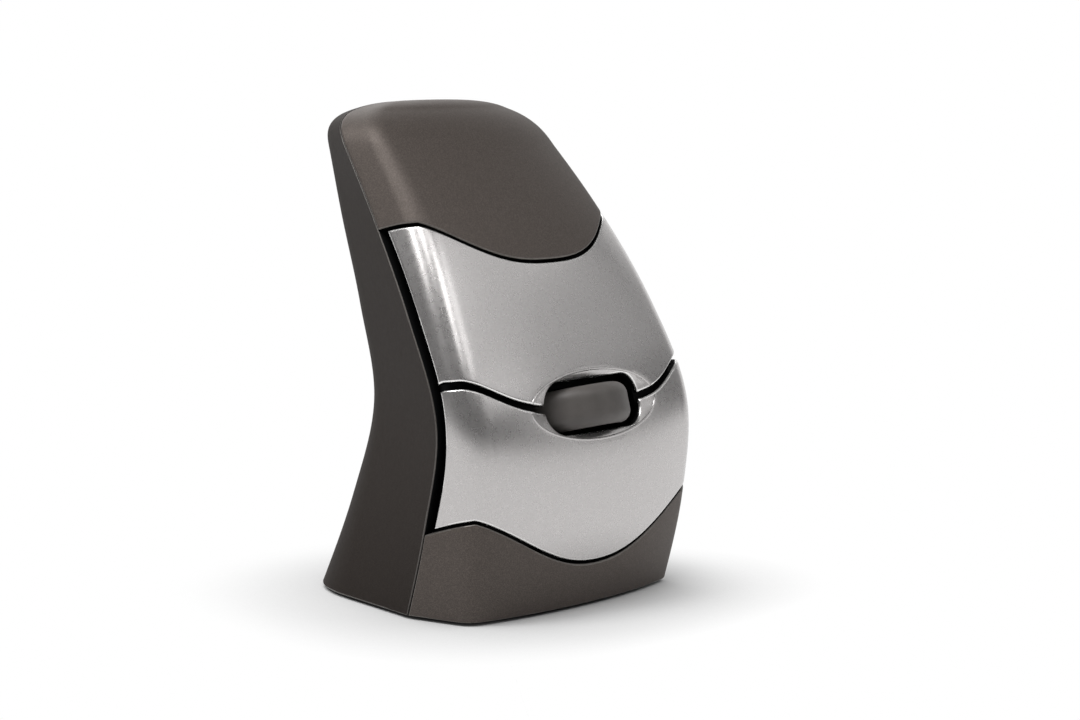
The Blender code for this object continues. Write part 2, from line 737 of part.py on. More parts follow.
def frame_windows():
    """Openings for the wheel, the switch posts and the hinge lugs."""
    windows = bmesh.new()

    def window(x, up, half_x, half_up):
        back = deepest_skin([abs(x) + half_x], [up - half_up, up + half_up])
        add_box(windows, (x - half_x, -4.0, up - half_up),
                (x + half_x, back + FRAME_SINK + FRAME_WALL + 0.6, up + half_up))

    window(0.0, 0.0, WHEEL_RADIUS + 2.6, SLOT_WIDTH / 2 + WHEEL_DROP + RUNNING)
    window(0.0, GATE_UP, GATE_RADIUS + RUNNING, GATE_THICK / 2 + RUNNING)
    for x, up in (UPPER_SWITCH, LOWER_SWITCH):
        window(x, up, POST_HALF + RUNNING, POST_HALF + RUNNING)
    for up in (UPPER_PIN_UP, LOWER_PIN_UP):
        for side in (-1, 1):
            window(side * LUG_X, up, LUG_WIDTH / 2 + RUNNING * 0.7, LUG_RADIUS + RUNNING)
    return windows


def frame_root(x, up, half):
    """Depth inside the frame's wall at which a post of this half width starts."""
    return deepest_skin([x - half, x + half], [up - half, up + half]) + FRAME_SINK + FRAME_WALL / 4


def frame_posts():
    """Ears of both hinges, board posts and carrier guides."""
    posts = bmesh.new()
    for side in (-1, 1):
        for up in (UPPER_PIN_UP, LOWER_PIN_UP):
            start = deepest_skin([ear_x() + LUG_WIDTH / 2], [up - LUG_RADIUS, up + LUG_RADIUS])
            add_ear(posts, side * ear_x(), up, start + FRAME_SINK + FRAME_WALL / 4)
        for up in BOARD_POST_UPS:
            start = frame_root(BOARD_POST_X, up, BOARD_POST_RADIUS)
            add_rod(posts, (side * BOARD_POST_X, start, up),
                    (side * BOARD_POST_X, BOARD_DEPTH - CLEAR, up), BOARD_POST_RADIUS)
        start = frame_root(GUIDE_X, 0.0, GUIDE_RADIUS)
        add_rod(posts, (side * GUIDE_X, start, 0.0), (side * GUIDE_X, TACT_FRONT - 0.5, 0.0),
                GUIDE_RADIUS)
    return posts


def frame_feet():
    """Bosses for the front base screws and the ribs that tie them to the frame."""
    feet = bmesh.new()
    x, y = FRONT_BOSS
    limit = outline(1.0, FRAME_BOTTOM)
    front = max(outline(x / limit.x, z).y for z in (FRAME_BOTTOM, BOSS_TOP)) + FRAME_SINK + FRAME_WALL / 2
    ribs = bmesh.new()
    for side in (-1, 1):
        add_rod(feet, (side * x, y, FRAME_BOTTOM), (side * x, y, BOSS_TOP), BOSS_RADIUS)
        add_box(ribs, (side * x - 1.0, front, FRAME_BOTTOM + 1.0), (side * x + 1.0, y, BOSS_TOP - 1.0))
    return feet, ribs


def frame_bores():
    """Bores for the hinge pins and the board screws."""
    bores = bmesh.new()
    reach = ear_x() + LUG_WIDTH
    for up in (UPPER_PIN_UP, LOWER_PIN_UP):
        depth = hinge_centre(up)
        for side in (-1, 1):
            inner, outer = side * (ear_x() - LUG_WIDTH), side * reach
            add_rod(bores, (inner, depth, up), (outer, depth, up), PIN_RADIUS + CLEAR, sides=16)
    for side in (-1, 1):
        for up in BOARD_POST_UPS:
            add_rod(bores, (side * BOARD_POST_X, BOARD_DEPTH - 4.5, up),
                    (side * BOARD_POST_X, BOARD_DEPTH + 1.0, up), SCREW_HOLE, sides=12)
    return bores


# ---------------------------------------------------------------- scroll wheel

def wheel_centre():
    return Vector((0.0, WHEEL_DEPTH, 0.0))


WHEEL = FACE @ Matrix.Translation(wheel_centre())


def make_wheel():
    rim = WHEEL_RADIUS - TYRE_THICK - CLEAR
    half = WHEEL_WIDTH / 2
    hub = bmesh.new()
    lip = rim - HUB_RIM
    edge = half - 0.4
    eye = AXLE_RADIUS * 0.6
    web = HUB_WEB / 2
    add_lathe(hub, [(eye, -web), (lip, -web), (lip, -edge), (rim, -edge),
                    (rim, edge), (lip, edge), (lip, web), (eye, web)], 28)
    wheel = make_object("wheel_hub", hub, WHITE, WHEEL)
    axle = bmesh.new()
    add_rod(axle, (0, 0, GATE_UP - GATE_THICK / 2 - 0.6), (0, 0, CARRIER_HALF_UP + 0.6), AXLE_RADIUS)
    combine(wheel, make_tool("axle_tool", axle, WHEEL), 'UNION')
    boss = bmesh.new()
    add_rod(boss, (0, 0, -half), (0, 0, half), HUB_BOSS_RADIUS)
    combine(wheel, make_tool("hub_boss_tool", boss, WHEEL), 'UNION')
    holes = bmesh.new()
    for k in range(6):
        angle = k * pi / 3
        middle = (lip + HUB_BOSS_RADIUS) / 2
        add_rod(holes, (middle * cos(angle), middle * sin(angle), -2.0),
                (middle * cos(angle), middle * sin(angle), 2.0), 1.7, sides=12)
    combine(wheel, make_tool("spoke_tool", holes, WHEEL), 'DIFFERENCE')

    tyre = bmesh.new()
    inner = WHEEL_RADIUS - TYRE_THICK
    edge = TYRE_SHOULDER
    profile = [(inner, -half), (WHEEL_RADIUS - edge, -half)]
    for a in steps(4, -pi / 2, 0.0)[1:]:
        profile.append((WHEEL_RADIUS - edge + edge * cos(a), -half + edge + edge * sin(a)))
    for a in steps(4, 0.0, pi / 2):
        profile.append((WHEEL_RADIUS - edge + edge * cos(a), half - edge + edge * sin(a)))
    profile.append((inner, half))
    add_lathe(tyre, profile, 40)
    make_object("wheel_tyre", tyre, RUBBER, WHEEL)

    gate = bmesh.new()
    half = GATE_THICK / 2
    bore = AXLE_RADIUS + CLEAR
    add_lathe(gate, [(bore, GATE_UP - half), (GATE_RADIUS, GATE_UP - half),
                     (GATE_RADIUS, GATE_UP + half), (bore, GATE_UP + half)], 24)
    disc = make_object("encoder_disc", gate, BLACK, WHEEL)
    slots = bmesh.new()
    for k in range(GATE_SLOTS):
        angle = 2 * pi * k / GATE_SLOTS
        corners = []
        for r, spread in ((GATE_RADIUS - 1.4, 0.12), (GATE_RADIUS - 0.4, 0.12)):
            corners.append((r * cos(angle - spread), r * sin(angle - spread)))
        for r, spread in ((GATE_RADIUS - 0.4, 0.12), (GATE_RADIUS - 1.4, 0.12)):
            corners.append((r * cos(angle + spread), r * sin(angle + spread)))
        add_prism(slots, corners, GATE_UP - 1.0, GATE_UP + 1.0)
    combine(disc, make_tool("gate_slot_tool", slots, WHEEL), 'DIFFERENCE')


def make_carrier():
    shape = bmesh.new()
    add_box(shape, (-CARRIER_HALF_X, CARRIER_FRONT, -CARRIER_HALF_UP),
            (CARRIER_HALF_X, CARRIER_BACK, CARRIER_HALF_UP))
    carrier = make_object("wheel_carrier", shape, BLACK, FACE)
    arms = bmesh.new()
    for side in (-1, 1):
        inner, outer = sorted((side * (CARRIER_HALF_X - 1.0), side * CARRIER_REACH))
        add_box(arms, (inner, CARRIER_FRONT, -ARM_HEIGHT / 2), (outer, CARRIER_BACK, ARM_HEIGHT / 2))
    combine(carrier, make_tool("carrier_arm_tool", arms, FACE), 'UNION')
    cuts = bmesh.new()
    add_box(cuts, (-CARRIER_OPEN_X, CARRIER_FRONT - 1, -CARRIER_OPEN_UP),
            (CARRIER_OPEN_X, CARRIER_BACK + 1, CARRIER_OPEN_UP))
    combine(carrier, make_tool("carrier_open_tool", cuts, FACE), 'DIFFERENCE')
    bores = bmesh.new()
    add_rod(bores, (0, WHEEL_DEPTH, -CARRIER_HALF_UP - 1), (0, WHEEL_DEPTH, CARRIER_HALF_UP + 1),
            AXLE_RADIUS + CLEAR)
    for side in (-1, 1):
        add_rod(bores, (side * GUIDE_X, CARRIER_FRONT - 1, 0), (side * GUIDE_X, CARRIER_BACK + 1, 0),
                GUIDE_RADIUS + CLEAR)
    combine(carrier, make_tool("carrier_bore_tool", bores, FACE), 'DIFFERENCE')


def make_light_gate():
    """Emitter above and receiver below the slotted disc, both on the front board."""
    wide, deep, high = SENSOR_BLOCK
    back = BOARD_DEPTH - CLEAR
    for name, side in (("encoder_emitter", 1), ("encoder_receiver", -1)):
        near = GATE_UP + side * (GATE_THICK / 2 + GATE_AIR)
        low, top = sorted((near, near + side * high))
        shape = bmesh.new()
        add_box(shape, (-wide / 2, back - deep, low), (wide / 2, back, top))
        make_object(name, shape, CHIP_BODY, FACE)


# ---------------------------------------------------------------- switches and boards

def make_microswitch(name, place):
    x, up = place
    wide, deep, high = SWITCH_SIZE
    shape = bmesh.new()
    add_box(shape, (x - wide / 2, SWITCH_FRONT, up - high / 2),
            (x + wide / 2, SWITCH_FRONT + deep, up + high / 2))
    body = make_object(name + "_switch", shape, CHIP_BODY, FACE)
    half_x, half_up = PLUNGER[0] / 2, PLUNGER[1] / 2
    bore = bmesh.new()
    add_box(bore, (x - half_x - CLEAR, SWITCH_FRONT - 1, up - half_up - CLEAR),
            (x + half_x + CLEAR, SWITCH_FRONT + PLUNGER_BORE, up + half_up + CLEAR))
    combine(body, make_tool(name + "_bore_tool", bore, FACE), 'DIFFERENCE')
    plunger = bmesh.new()
    add_box(plunger, (x - half_x, SWITCH_FRONT - PLUNGER_OUT, up - half_up),
            (x + half_x, SWITCH_FRONT + PLUNGER_IN, up + half_up))
    make_object(name + "_plunger", plunger, RED, FACE)


def make_wheel_switch():
    half = TACT_SIZE / 2
    shape = bmesh.new()
    add_box(shape, (TACT_X - half, TACT_FRONT, -half), (TACT_X + half, BOARD_DEPTH - CLEAR, half))
    body = make_object("wheel_switch", shape, CHIP_BODY, FACE)
    bore = bmesh.new()
    add_rod(bore, (TACT_X, TACT_FRONT - 1, 0), (TACT_X, TACT_FRONT + PLUNGER_BORE, 0),
            TACT_RADIUS + CLEAR)
    combine(body, make_tool("wheel_bore_tool", bore, FACE), 'DIFFERENCE')
    plunger = bmesh.new()
    add_rod(plunger, (TACT_X, CARRIER_BACK + CLEAR, 0), (TACT_X, TACT_FRONT + PLUNGER_IN, 0), TACT_RADIUS)
    make_object("wheel_plunger", plunger, RED, FACE)


def make_front_board():
    back = BOARD_DEPTH + BOARD_THICK
    shape = bmesh.new()
    add_box(shape, (-FRONT_BOARD_HALF, BOARD_DEPTH, FRONT_BOARD_LOW),
            (FRONT_BOARD_HALF, back, FRONT_BOARD_HIGH))
    board = make_object("front_board", shape, BOARD, FACE)
    cuts = bmesh.new()
    add_box(cuts, (-CARRIER_OPEN_X, BOARD_DEPTH - 1, -CARRIER_OPEN_UP),
            (CARRIER_OPEN_X, back + 1, CARRIER_OPEN_UP))
    for side in (-1, 1):
        for up in BOARD_POST_UPS:
            add_rod(cuts, (side * BOARD_POST_X, BOARD_DEPTH - 1, up), (side * BOARD_POST_X, back + 1, up),
                    SCREW_HOLE, sides=12)
    combine(board, make_tool("front_board_cut_tool", cuts, FACE), 'DIFFERENCE')
    for row, up in enumerate(BOARD_POST_UPS):
        for column, side in enumerate((-1, 1)):
            start = Vector((side * BOARD_POST_X, BOARD_DEPTH - 3.5, up))
            end = Vector((side * BOARD_POST_X, back + CLEAR, up))
            make_screw("board_screw_%d" % (1 + row * 2 + column), start, end, FACE)


def make_screw(name, start, end, frame=None):
    """Pan-head screw from its point to the underside of its head."""
    shape = bmesh.new()
    add_rod(shape, start, end, SCREW_RADIUS, sides=12)
    screw = make_object(name, shape, STEEL, frame)
    along = (end - start).normalized()
    head = bmesh.new()
    add_rod(head, end - along * 0.1, end + along * SCREW_HEAD, SCREW_HEAD_RADIUS, SCREW_HEAD_RADIUS * 0.8)
    combine(screw, make_tool(name + "_head_tool", head, frame), 'UNION')


def make_main_board():
    """Main board in front of the cells, on two posts of the base."""
    half = FRONT_BOSS[0] - BOSS_RADIUS - 1.0
    front = FRONT_BOSS[1] - 3.5
    rear = CELL_Y - HOLDER_HALF[1] - 0.6
    low, top = MAIN_BOARD_Z, MAIN_BOARD_Z + BOARD_THICK
    shape = bmesh.new()
    add_box(shape, (-half, front, low), (half, rear, top))
    board = make_object("main_board", shape, BOARD)
    cuts = bmesh.new()
    add_rod(cuts, (0, SENSOR_Y, low - 1), (0, SENSOR_Y, top + 1), LENS_RADIUS + CLEAR, sides=16)
    for x, y in board_posts():
        add_rod(cuts, (x, y, low - 1), (x, y, top + 1), SCREW_HOLE, sides=12)
    combine(board, make_tool("main_board_cut_tool", cuts), 'DIFFERENCE')
    for k, (x, y) in enumerate(board_posts()):
        start, end = Vector((x, y, low - BOARD_SCREW_REACH)), Vector((x, y, top + CLEAR))
        make_screw("main_board_screw_%d" % (k + 1), start, end)


def make_switch_board():
    """Small board over the power switch, on two posts behind the cells."""
    half = switch_posts()[1][0] + 2.2
    low, top = MAIN_BOARD_Z, MAIN_BOARD_Z + BOARD_THICK
    shape = bmesh.new()
    add_box(shape, (-half, POWER_Y - SWITCH_BOARD[0], low), (half, POWER_Y + SWITCH_BOARD[1], top))
    board = make_object("switch_board", shape, BOARD)
    cuts = bmesh.new()
    for x, y in switch_posts():
        add_rod(cuts, (x, y, low - 1), (x, y, top + 1), SCREW_HOLE, sides=12)
    combine(board, make_tool("switch_board_cut_tool", cuts), 'DIFFERENCE')
    for k, (x, y) in enumerate(switch_posts()):
        start, end = Vector((x, y, low - BOARD_SCREW_REACH)), Vector((x, y, top + CLEAR))
        make_screw("switch_board_screw_%d" % (k + 1), start, end)


def counter_clockwise(corners):
    area = sum(a[0] * b[1] - b[0] * a[1] for a, b in zip(corners, corners[1:] + corners[:1]))
    return corners if area > 0 else corners[::-1]


def board_posts():
    x = FRONT_BOSS[0] - BOSS_RADIUS - 3.6
    y = FRONT_BOSS[1] - 0.8
    return [(-x, y), (x, y)]


def switch_posts():
    x = POWER_SWITCH[0] / 2 + POST_RADIUS + CLEAR
    return [(-x, POWER_Y), (x, POWER_Y)]


def make_optics():
    chip = bmesh.new()
    wide, long, high = CHIP
    low = MAIN_BOARD_Z + BOARD_THICK + CLEAR
    add_box(chip, (-wide / 2, SENSOR_Y - long / 2, low), (wide / 2, SENSOR_Y + long / 2, low + high))
    make_object("sensor_chip", chip, CHIP_BODY)
    plate = bmesh.new()
    low = BASE_TOP + CLEAR
    add_box(plate, (-LENS_PLATE[0] / 2, SENSOR_Y - LENS_PLATE[1] / 2, low),
            (LENS_PLATE[0] / 2, SENSOR_Y + LENS_PLATE[1] / 2, low + 1.6))
    lens = make_object("sensor_lens", plate, CLEAR_PLASTIC)
    tubes = bmesh.new()
    add_rod(tubes, (0, SENSOR_Y, BASE_BOTTOM + 1.0), (0, SENSOR_Y, MAIN_BOARD_Z + BOARD_THICK),
            LENS_RADIUS)
    combine(lens, make_tool("lens_tube_tool", tubes), 'UNION')


def make_ribbon():
    """Flat cable between a connector behind the front board and one on the main board."""
    x, half, thick = 10.5, 3.5, 0.6
    plug = 2.2
    back = BOARD_DEPTH + BOARD_THICK + CLEAR
    upper = bmesh.new()
    add_box(upper, (x - half - 0.8, back, FRONT_BOARD_LOW + 1.0),
            (x + half + 0.8, back + 2.6, FRONT_BOARD_LOW + 5.0))
    make_object("front_connector", upper, WHITE, FACE)
    start = FACE @ Vector((x, back + 1.3, FRONT_BOARD_LOW + 1.0 - CLEAR))
    foot_z = MAIN_BOARD_Z + BOARD_THICK + CLEAR
    end = Vector((x, start.y + 3.0, foot_z + plug + CLEAR))
    lower = bmesh.new()
    add_box(lower, (x - half - 0.8, end.y - 1.5, foot_z), (x + half + 0.8, end.y + 1.5, foot_z + plug))
    make_object("main_connector", lower, WHITE)
    reach = (start - end).length / 3
    lead = FACE.to_3x3() @ Vector((0, 0, -reach))
    centre = []
    for t in steps(8):
        a = start.lerp(start + lead, t)
        b = (start + lead).lerp(end + Vector((0, 0, reach)), t)
        c = (end + Vector((0, 0, reach))).lerp(end, t)
        centre.append(a.lerp(b, t).lerp(b.lerp(c, t), t))
    front, rear = [], []
    for k, point in enumerate(centre):
        ahead = centre[min(k + 1, len(centre) - 1)] - centre[max(k - 1, 0)]
        side = Vector((0, ahead.z, -ahead.y)).normalized() * (thick / 2)
        front.append((point.y + side.y, point.z + side.z))
        rear.append((point.y - side.y, point.z - side.z))
    shape = bmesh.new()
    add_prism(shape, counter_clockwise(front + rear[::-1]), x - half, x + half, axis='X')
    make_object("ribbon_cable", shape, CABLE)


# ---------------------------------------------------------------- power

def make_power():
    low = BASE_TOP + CLEAR
    half_x, half_y = HOLDER_HALF
    shape = bmesh.new()
    add_prism(shape, rounded_rectangle(half_x, half_y, 2.5, (0, CELL_Y)), low, HOLDER_TOP)
    holder = make_object("battery_holder", shape, BLACK)
    bores = bmesh.new()
    add_box(bores, (-CELL_X, CELL_Y - CELL_RADIUS / 2, low - 1),
            (CELL_X, CELL_Y + CELL_RADIUS / 2, CELL_TOP - CELL_RADIUS))
    combine(holder, make_tool("holder_slot_tool", bores), 'DIFFERENCE')
    for number, side in ((1, -1), (2, 1)):
        x = side * CELL_X
        bore = bmesh.new()
        add_rod(bore, (x, CELL_Y, low - 1), (x, CELL_Y, HOLDER_TOP - HOLDER_WALL), CELL_RADIUS + CLEAR,
                sides=20)
        combine(holder, make_tool("cell_bore_tool_%d" % number, bore), 'DIFFERENCE')
        cell = bmesh.new()
        top = CELL_BOTTOM + CELL_LENGTH
        add_lathe_solid(cell, [(CELL_RADIUS - 0.6, CELL_BOTTOM), (CELL_RADIUS, CELL_BOTTOM + 0.6),
                               (CELL_RADIUS, top - 0.6), (CELL_RADIUS - 0.6, top), (1.9, top),
                               (1.9, top + CELL_NUB)], 20, x, CELL_Y)
        make_object("battery_cell_%d" % number, cell, CELL)
        make_object("battery_spring_%d" % number, coil(x, CELL_Y, CELL_TOP + CLEAR), STEEL)


def add_lathe_solid(shape, profile, sides, x, y):
    """Solid turned about an upright axis from a list of (radius, height), bottom to top."""
    rings = []
    turns = [(cos(2 * pi * k / sides), sin(2 * pi * k / sides)) for k in range(sides)]
    for r, z in profile:
        rings.append([shape.verts.new((x + r * a, y + r * b, z)) for a, b in turns])
    shape.faces.new(reversed(rings[0]))
    shape.faces.new(rings[-1])
    for below, above in zip(rings[:-1], rings[1:]):
        for k in range(sides):
            j = (k + 1) % sides
            shape.faces.new((below[k], below[j], above[j], above[k]))


def coil(x, y, low):
    """Contact spring: a round wire wound upwards, closed at both ends."""
    shape = bmesh.new()
    around, sides = 10, 4
    count = int(ceil(SPRING_TURNS * around))
    rise = SPRING_HEIGHT - 2 * SPRING_WIRE
    rings = []
    for k in range(count + 1):
        angle = 2 * pi * k / around
        out = Vector((cos(angle), sin(angle), 0.0))
        centre = Vector((x, y, low + SPRING_WIRE + rise * k / count)) + out * SPRING_RADIUS
        rings.append([shape.verts.new(centre + out * (SPRING_WIRE * cos(2 * pi * j / sides))
                                      + Vector((0, 0, SPRING_WIRE * sin(2 * pi * j / sides))))
                      for j in range(sides)])
    for here, there in zip(rings[:-1], rings[1:]):
        for j in range(sides):
            m = (j + 1) % sides
            shape.faces.new((here[m], here[j], there[j], there[m]))
    shape.faces.new(rings[0])
    shape.faces.new(reversed(rings[-1]))
    bmesh.ops.recalc_face_normals(shape, faces=shape.faces)
    return shape


def make_power_switch():
    low = BASE_TOP + CLEAR
    half_x, half_y = POWER_SWITCH[0] / 2, POWER_SWITCH[1] / 2
    shape = bmesh.new()
    add_box(shape, (-half_x, POWER_Y - half_y, low), (half_x, POWER_Y + half_y, MAIN_BOARD_Z - CLEAR))
    body = make_object("power_switch", shape, STEEL)
    knob_x, knob_y = KNOB[0] / 2, KNOB[1] / 2
    start = -POWER_TRAVEL / 2
    slot = bmesh.new()
    slot_x = knob_x + POWER_TRAVEL / 2 + CLEAR
    add_box(slot, (-slot_x, POWER_Y - knob_y - CLEAR, low - 1),
            (slot_x, POWER_Y + knob_y + CLEAR, low + 1.6))
    combine(body, make_tool("power_slot_tool", slot), 'DIFFERENCE')
    knob = bmesh.new()
    add_box(knob, (start - knob_x, POWER_Y - knob_y, BASE_BOTTOM + 0.3),
            (start + knob_x, POWER_Y + knob_y, low + 1.2))
    make_object("power_slider", knob, WHITE)


# ---------------------------------------------------------------- base

def base_ring(z, inset):
    """Level ring inside the shells' walls at height z."""
    ring = []
    places = front_columns(5, 3, 1)[:-1] + steps(3, 3.0, 4.0) + steps(4, 4.0, 5.0)[1:]
    for u, v in [(u, z) for u in places]:
        if 2.9 < u < 3.1:
            inward = seam_offset(2.99, v)
        elif u < 3:
            inward = -front_normal(u, v)
        else:
            inward = -normal(u, v, 3.0, 7.0)
        flat = Vector((inward.x, inward.y, 0.0))
        share = inset / max(flat.length, 0.5)
        ring.append(skin(u, v) + flat.normalized() * share)
    left = [Vector((-p.x, p.y, p.z)) for p in ring[1:-1]]
    return ring + left[::-1]


def door_half(margin=0.0):
    return HOLDER_HALF[0] + 1.6 + margin


def door_span(margin=0.0):
    """Front and rear edges of the battery door."""
    front, rear = CELL_Y - HOLDER_HALF[1] - 1.0, CELL_Y + HOLDER_HALF[1] + DOOR_TONGUE / 2 - 1.0
    return (front - margin, rear + margin)


def make_base():
    shape = bmesh.new()
    low, top = base_ring(BASE_BOTTOM, BASE_INSET), base_ring(BASE_TOP, BASE_INSET)
    below = [shape.verts.new(Vector((p.x, p.y, BASE_BOTTOM))) for p in low]
    above = [shape.verts.new(Vector((p.x, p.y, BASE_TOP))) for p in top]
    shape.faces.new(reversed(below))
    shape.faces.new(above)
    for k in range(len(below)):
        j = (k + 1) % len(below)
        shape.faces.new((below[k], below[j], above[j], above[k]))
    base = make_object("base_plate", shape, BLACK)
    posts = bmesh.new()
    for x, y in board_posts() + switch_posts():
        add_rod(posts, (x, y, BASE_TOP - 0.5), (x, y, MAIN_BOARD_Z - CLEAR), POST_RADIUS, sides=16)
    combine(base, make_tool("base_post_tool", posts), 'UNION')
    combine(base, make_tool("base_opening_tool", base_openings()), 'DIFFERENCE')
    combine(base, make_tool("base_recess_tool", base_recesses()), 'DIFFERENCE')


def base_openings():
    """Through holes: sensor window, battery bay, power slot and screws."""
    cuts = bmesh.new()
    low, top = BASE_BOTTOM - 1.0, BASE_TOP + 0.7
    add_prism(cuts, rounded_rectangle(WINDOW[0] / 2, WINDOW[1] / 2, 2.0, (0, SENSOR_Y)), low, top)
    bay = HOLDER_HALF[0] - HOLDER_WALL, HOLDER_HALF[1] - HOLDER_WALL
    add_prism(cuts, rounded_rectangle(bay[0], bay[1], 2.0, (0, CELL_Y)), low, top)
    knob_x, knob_y = KNOB[0] / 2 + POWER_TRAVEL / 2 + CLEAR, KNOB[1] / 2 + CLEAR
    add_prism(cuts, rounded_rectangle(knob_x, knob_y, 0.8, (0, POWER_Y)), low, top)
    for x, y in (FRONT_BOSS, REAR_BOSS):
        for side in (-1, 1):
            add_rod(cuts, (side * x, y, low), (side * x, y, top), SCREW_HOLE, sides=12)
    for x, y in board_posts() + switch_posts():
        add_rod(cuts, (x, y, MAIN_BOARD_Z - 3.2), (x, y, MAIN_BOARD_Z + 1), SCREW_HOLE, sides=12)
    return cuts


def base_recesses():
    """Pockets in the underside: door, feet, power knob and screw heads."""
    cuts = bmesh.new()
    low = BASE_BOTTOM - 1.0
    front, rear = door_span(CLEAR)
    add_prism(cuts, rounded_rectangle(door_half(CLEAR), (rear - front) / 2, 2.0, (0, (front + rear) / 2)),
              low, DOOR_TOP + CLEAR)
    for centre, half in foot_places():
        add_prism(cuts, rounded_rectangle(half[0] + CLEAR, half[1] + CLEAR, 1.8, centre),
                  low, BASE_BOTTOM + FOOT_SINK)
    for x, y in (FRONT_BOSS, REAR_BOSS):
        for side in (-1, 1):
            add_rod(cuts, (side * x, y, low), (side * x, y, BASE_BOTTOM + SCREW_HEAD + CLEAR + 0.1),
                    SCREW_HEAD_RADIUS + CLEAR)
    finger = KNOB[0] / 2 + POWER_TRAVEL / 2 + 1.6, KNOB[1] / 2 + 1.4
    add_prism(cuts, rounded_rectangle(*finger, 1.2, (0, POWER_Y)), low, BASE_BOTTOM + 0.9)
    return cuts


def foot_places():
    """Centre and half size of each glide foot."""
    front_y = FRONT_BOSS[1] - BOSS_RADIUS - 1.0
    rear_y = POWER_Y + KNOB[1] / 2 + 4.2
    side_x = door_half() + 4.0
    return [((0.0, front_y), (11.0, 1.8)), ((0.0, rear_y), (6.5, 1.6)),
            ((-side_x, CELL_Y - 1.0), (1.8, 6.0)), ((side_x, CELL_Y - 1.0), (1.8, 6.0))]


def make_feet():
    for number, (centre, half) in enumerate(foot_places()):
        shape = bmesh.new()
        top = min(FOOT_THICK, BASE_BOTTOM + FOOT_SINK - CLEAR * 0.5)
        add_prism(shape, rounded_rectangle(half[0], half[1], 1.5, centre), 0.0, top)
        make_object("glide_foot_%d" % (number + 1), shape, FOOT)


def make_door():
    front, rear = door_span()
    shape = bmesh.new()
    add_prism(shape, rounded_rectangle(door_half(), (rear - front) / 2, 1.7, (0, (front + rear) / 2)),
              BASE_BOTTOM, DOOR_TOP)
    door = make_object("battery_door", shape, BLACK)
    grip = bmesh.new()
    add_rod(grip, (-3.5, rear - 1.8, BASE_BOTTOM - 0.6), (3.5, rear - 1.8, BASE_BOTTOM - 0.6), 1.1)
    combine(door, make_tool("door_grip_tool", grip), 'DIFFERENCE')
    strip = bmesh.new()
    half_x = CELL_X + CELL_RADIUS / 2
    add_box(strip, (-half_x, CELL_Y - 2.5, DOOR_TOP + CLEAR), (half_x, CELL_Y + 2.5, CELL_BOTTOM - CLEAR))
    make_object("battery_contact", strip, STEEL)


def make_base_screws():
    number = 0
    for x, y in (FRONT_BOSS, REAR_BOSS):
        for side in (-1, 1):
            number += 1
            seat = BASE_BOTTOM + SCREW_HEAD + 0.1
            start, end = Vector((side * x, y, BOSS_TOP - 3.0)), Vector((side * x, y, seat))
            make_screw("base_screw_%d" % number, start, end)


# ---------------------------------------------------------------- build

def main():
    for old in list(bpy.data.objects):
        bpy.data.objects.remove(old, do_unlink=True)
    make_rear_shell()
    make_upper_cover()
    make_lower_cover()
    make_front_frame()
    make_button("upper_button", 1, lambda u: wave(u, CAP_WAVE) - CAP_GAP / 2,
                UPPER_PIN_UP, UPPER_SWITCH)
    make_button("lower_button", -1, lambda u: wave(u, SKIRT_WAVE) + SKIRT_GAP / 2,
                LOWER_PIN_UP, LOWER_SWITCH)
    make_hinge_pin("upper_hinge_pin", UPPER_PIN_UP)
    make_hinge_pin("lower_hinge_pin", LOWER_PIN_UP)
    make_wheel()
    make_carrier()
    make_light_gate()
    make_microswitch("upper", UPPER_SWITCH)
    make_microswitch("lower", LOWER_SWITCH)
    make_wheel_switch()
    make_front_board()
    make_main_board()
    make_switch_board()
    make_optics()
    make_ribbon()
    make_power()
    make_power_switch()
    make_base()
    make_feet()
    make_door()
    make_base_screws()


main()
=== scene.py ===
"""Looks of the upright computer mouse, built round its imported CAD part.

The five visible mouldings are made again here from the same lofted skin as the CAD solids, with many more
columns, rounded edges and paint. Shapes are in millimetres and become metres when a mesh is made.
"""

import json
from math import asin, atan2, cos, pi, radians, sin, sqrt

import bmesh
import bpy
from mathutils import Matrix, Vector


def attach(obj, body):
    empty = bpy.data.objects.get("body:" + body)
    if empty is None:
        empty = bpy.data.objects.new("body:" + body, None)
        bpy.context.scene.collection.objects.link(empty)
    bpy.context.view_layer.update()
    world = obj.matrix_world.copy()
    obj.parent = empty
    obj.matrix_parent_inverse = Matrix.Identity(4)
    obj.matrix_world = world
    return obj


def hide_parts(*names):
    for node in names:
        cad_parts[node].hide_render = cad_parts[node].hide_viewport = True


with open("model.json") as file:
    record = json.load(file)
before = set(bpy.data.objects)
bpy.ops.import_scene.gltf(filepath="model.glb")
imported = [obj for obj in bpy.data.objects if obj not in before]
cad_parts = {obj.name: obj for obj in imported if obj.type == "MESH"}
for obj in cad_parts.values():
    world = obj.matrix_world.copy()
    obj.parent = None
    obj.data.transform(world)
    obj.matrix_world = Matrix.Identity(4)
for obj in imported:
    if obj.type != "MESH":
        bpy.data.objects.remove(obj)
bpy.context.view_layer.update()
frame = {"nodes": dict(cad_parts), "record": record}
MM = 0.001

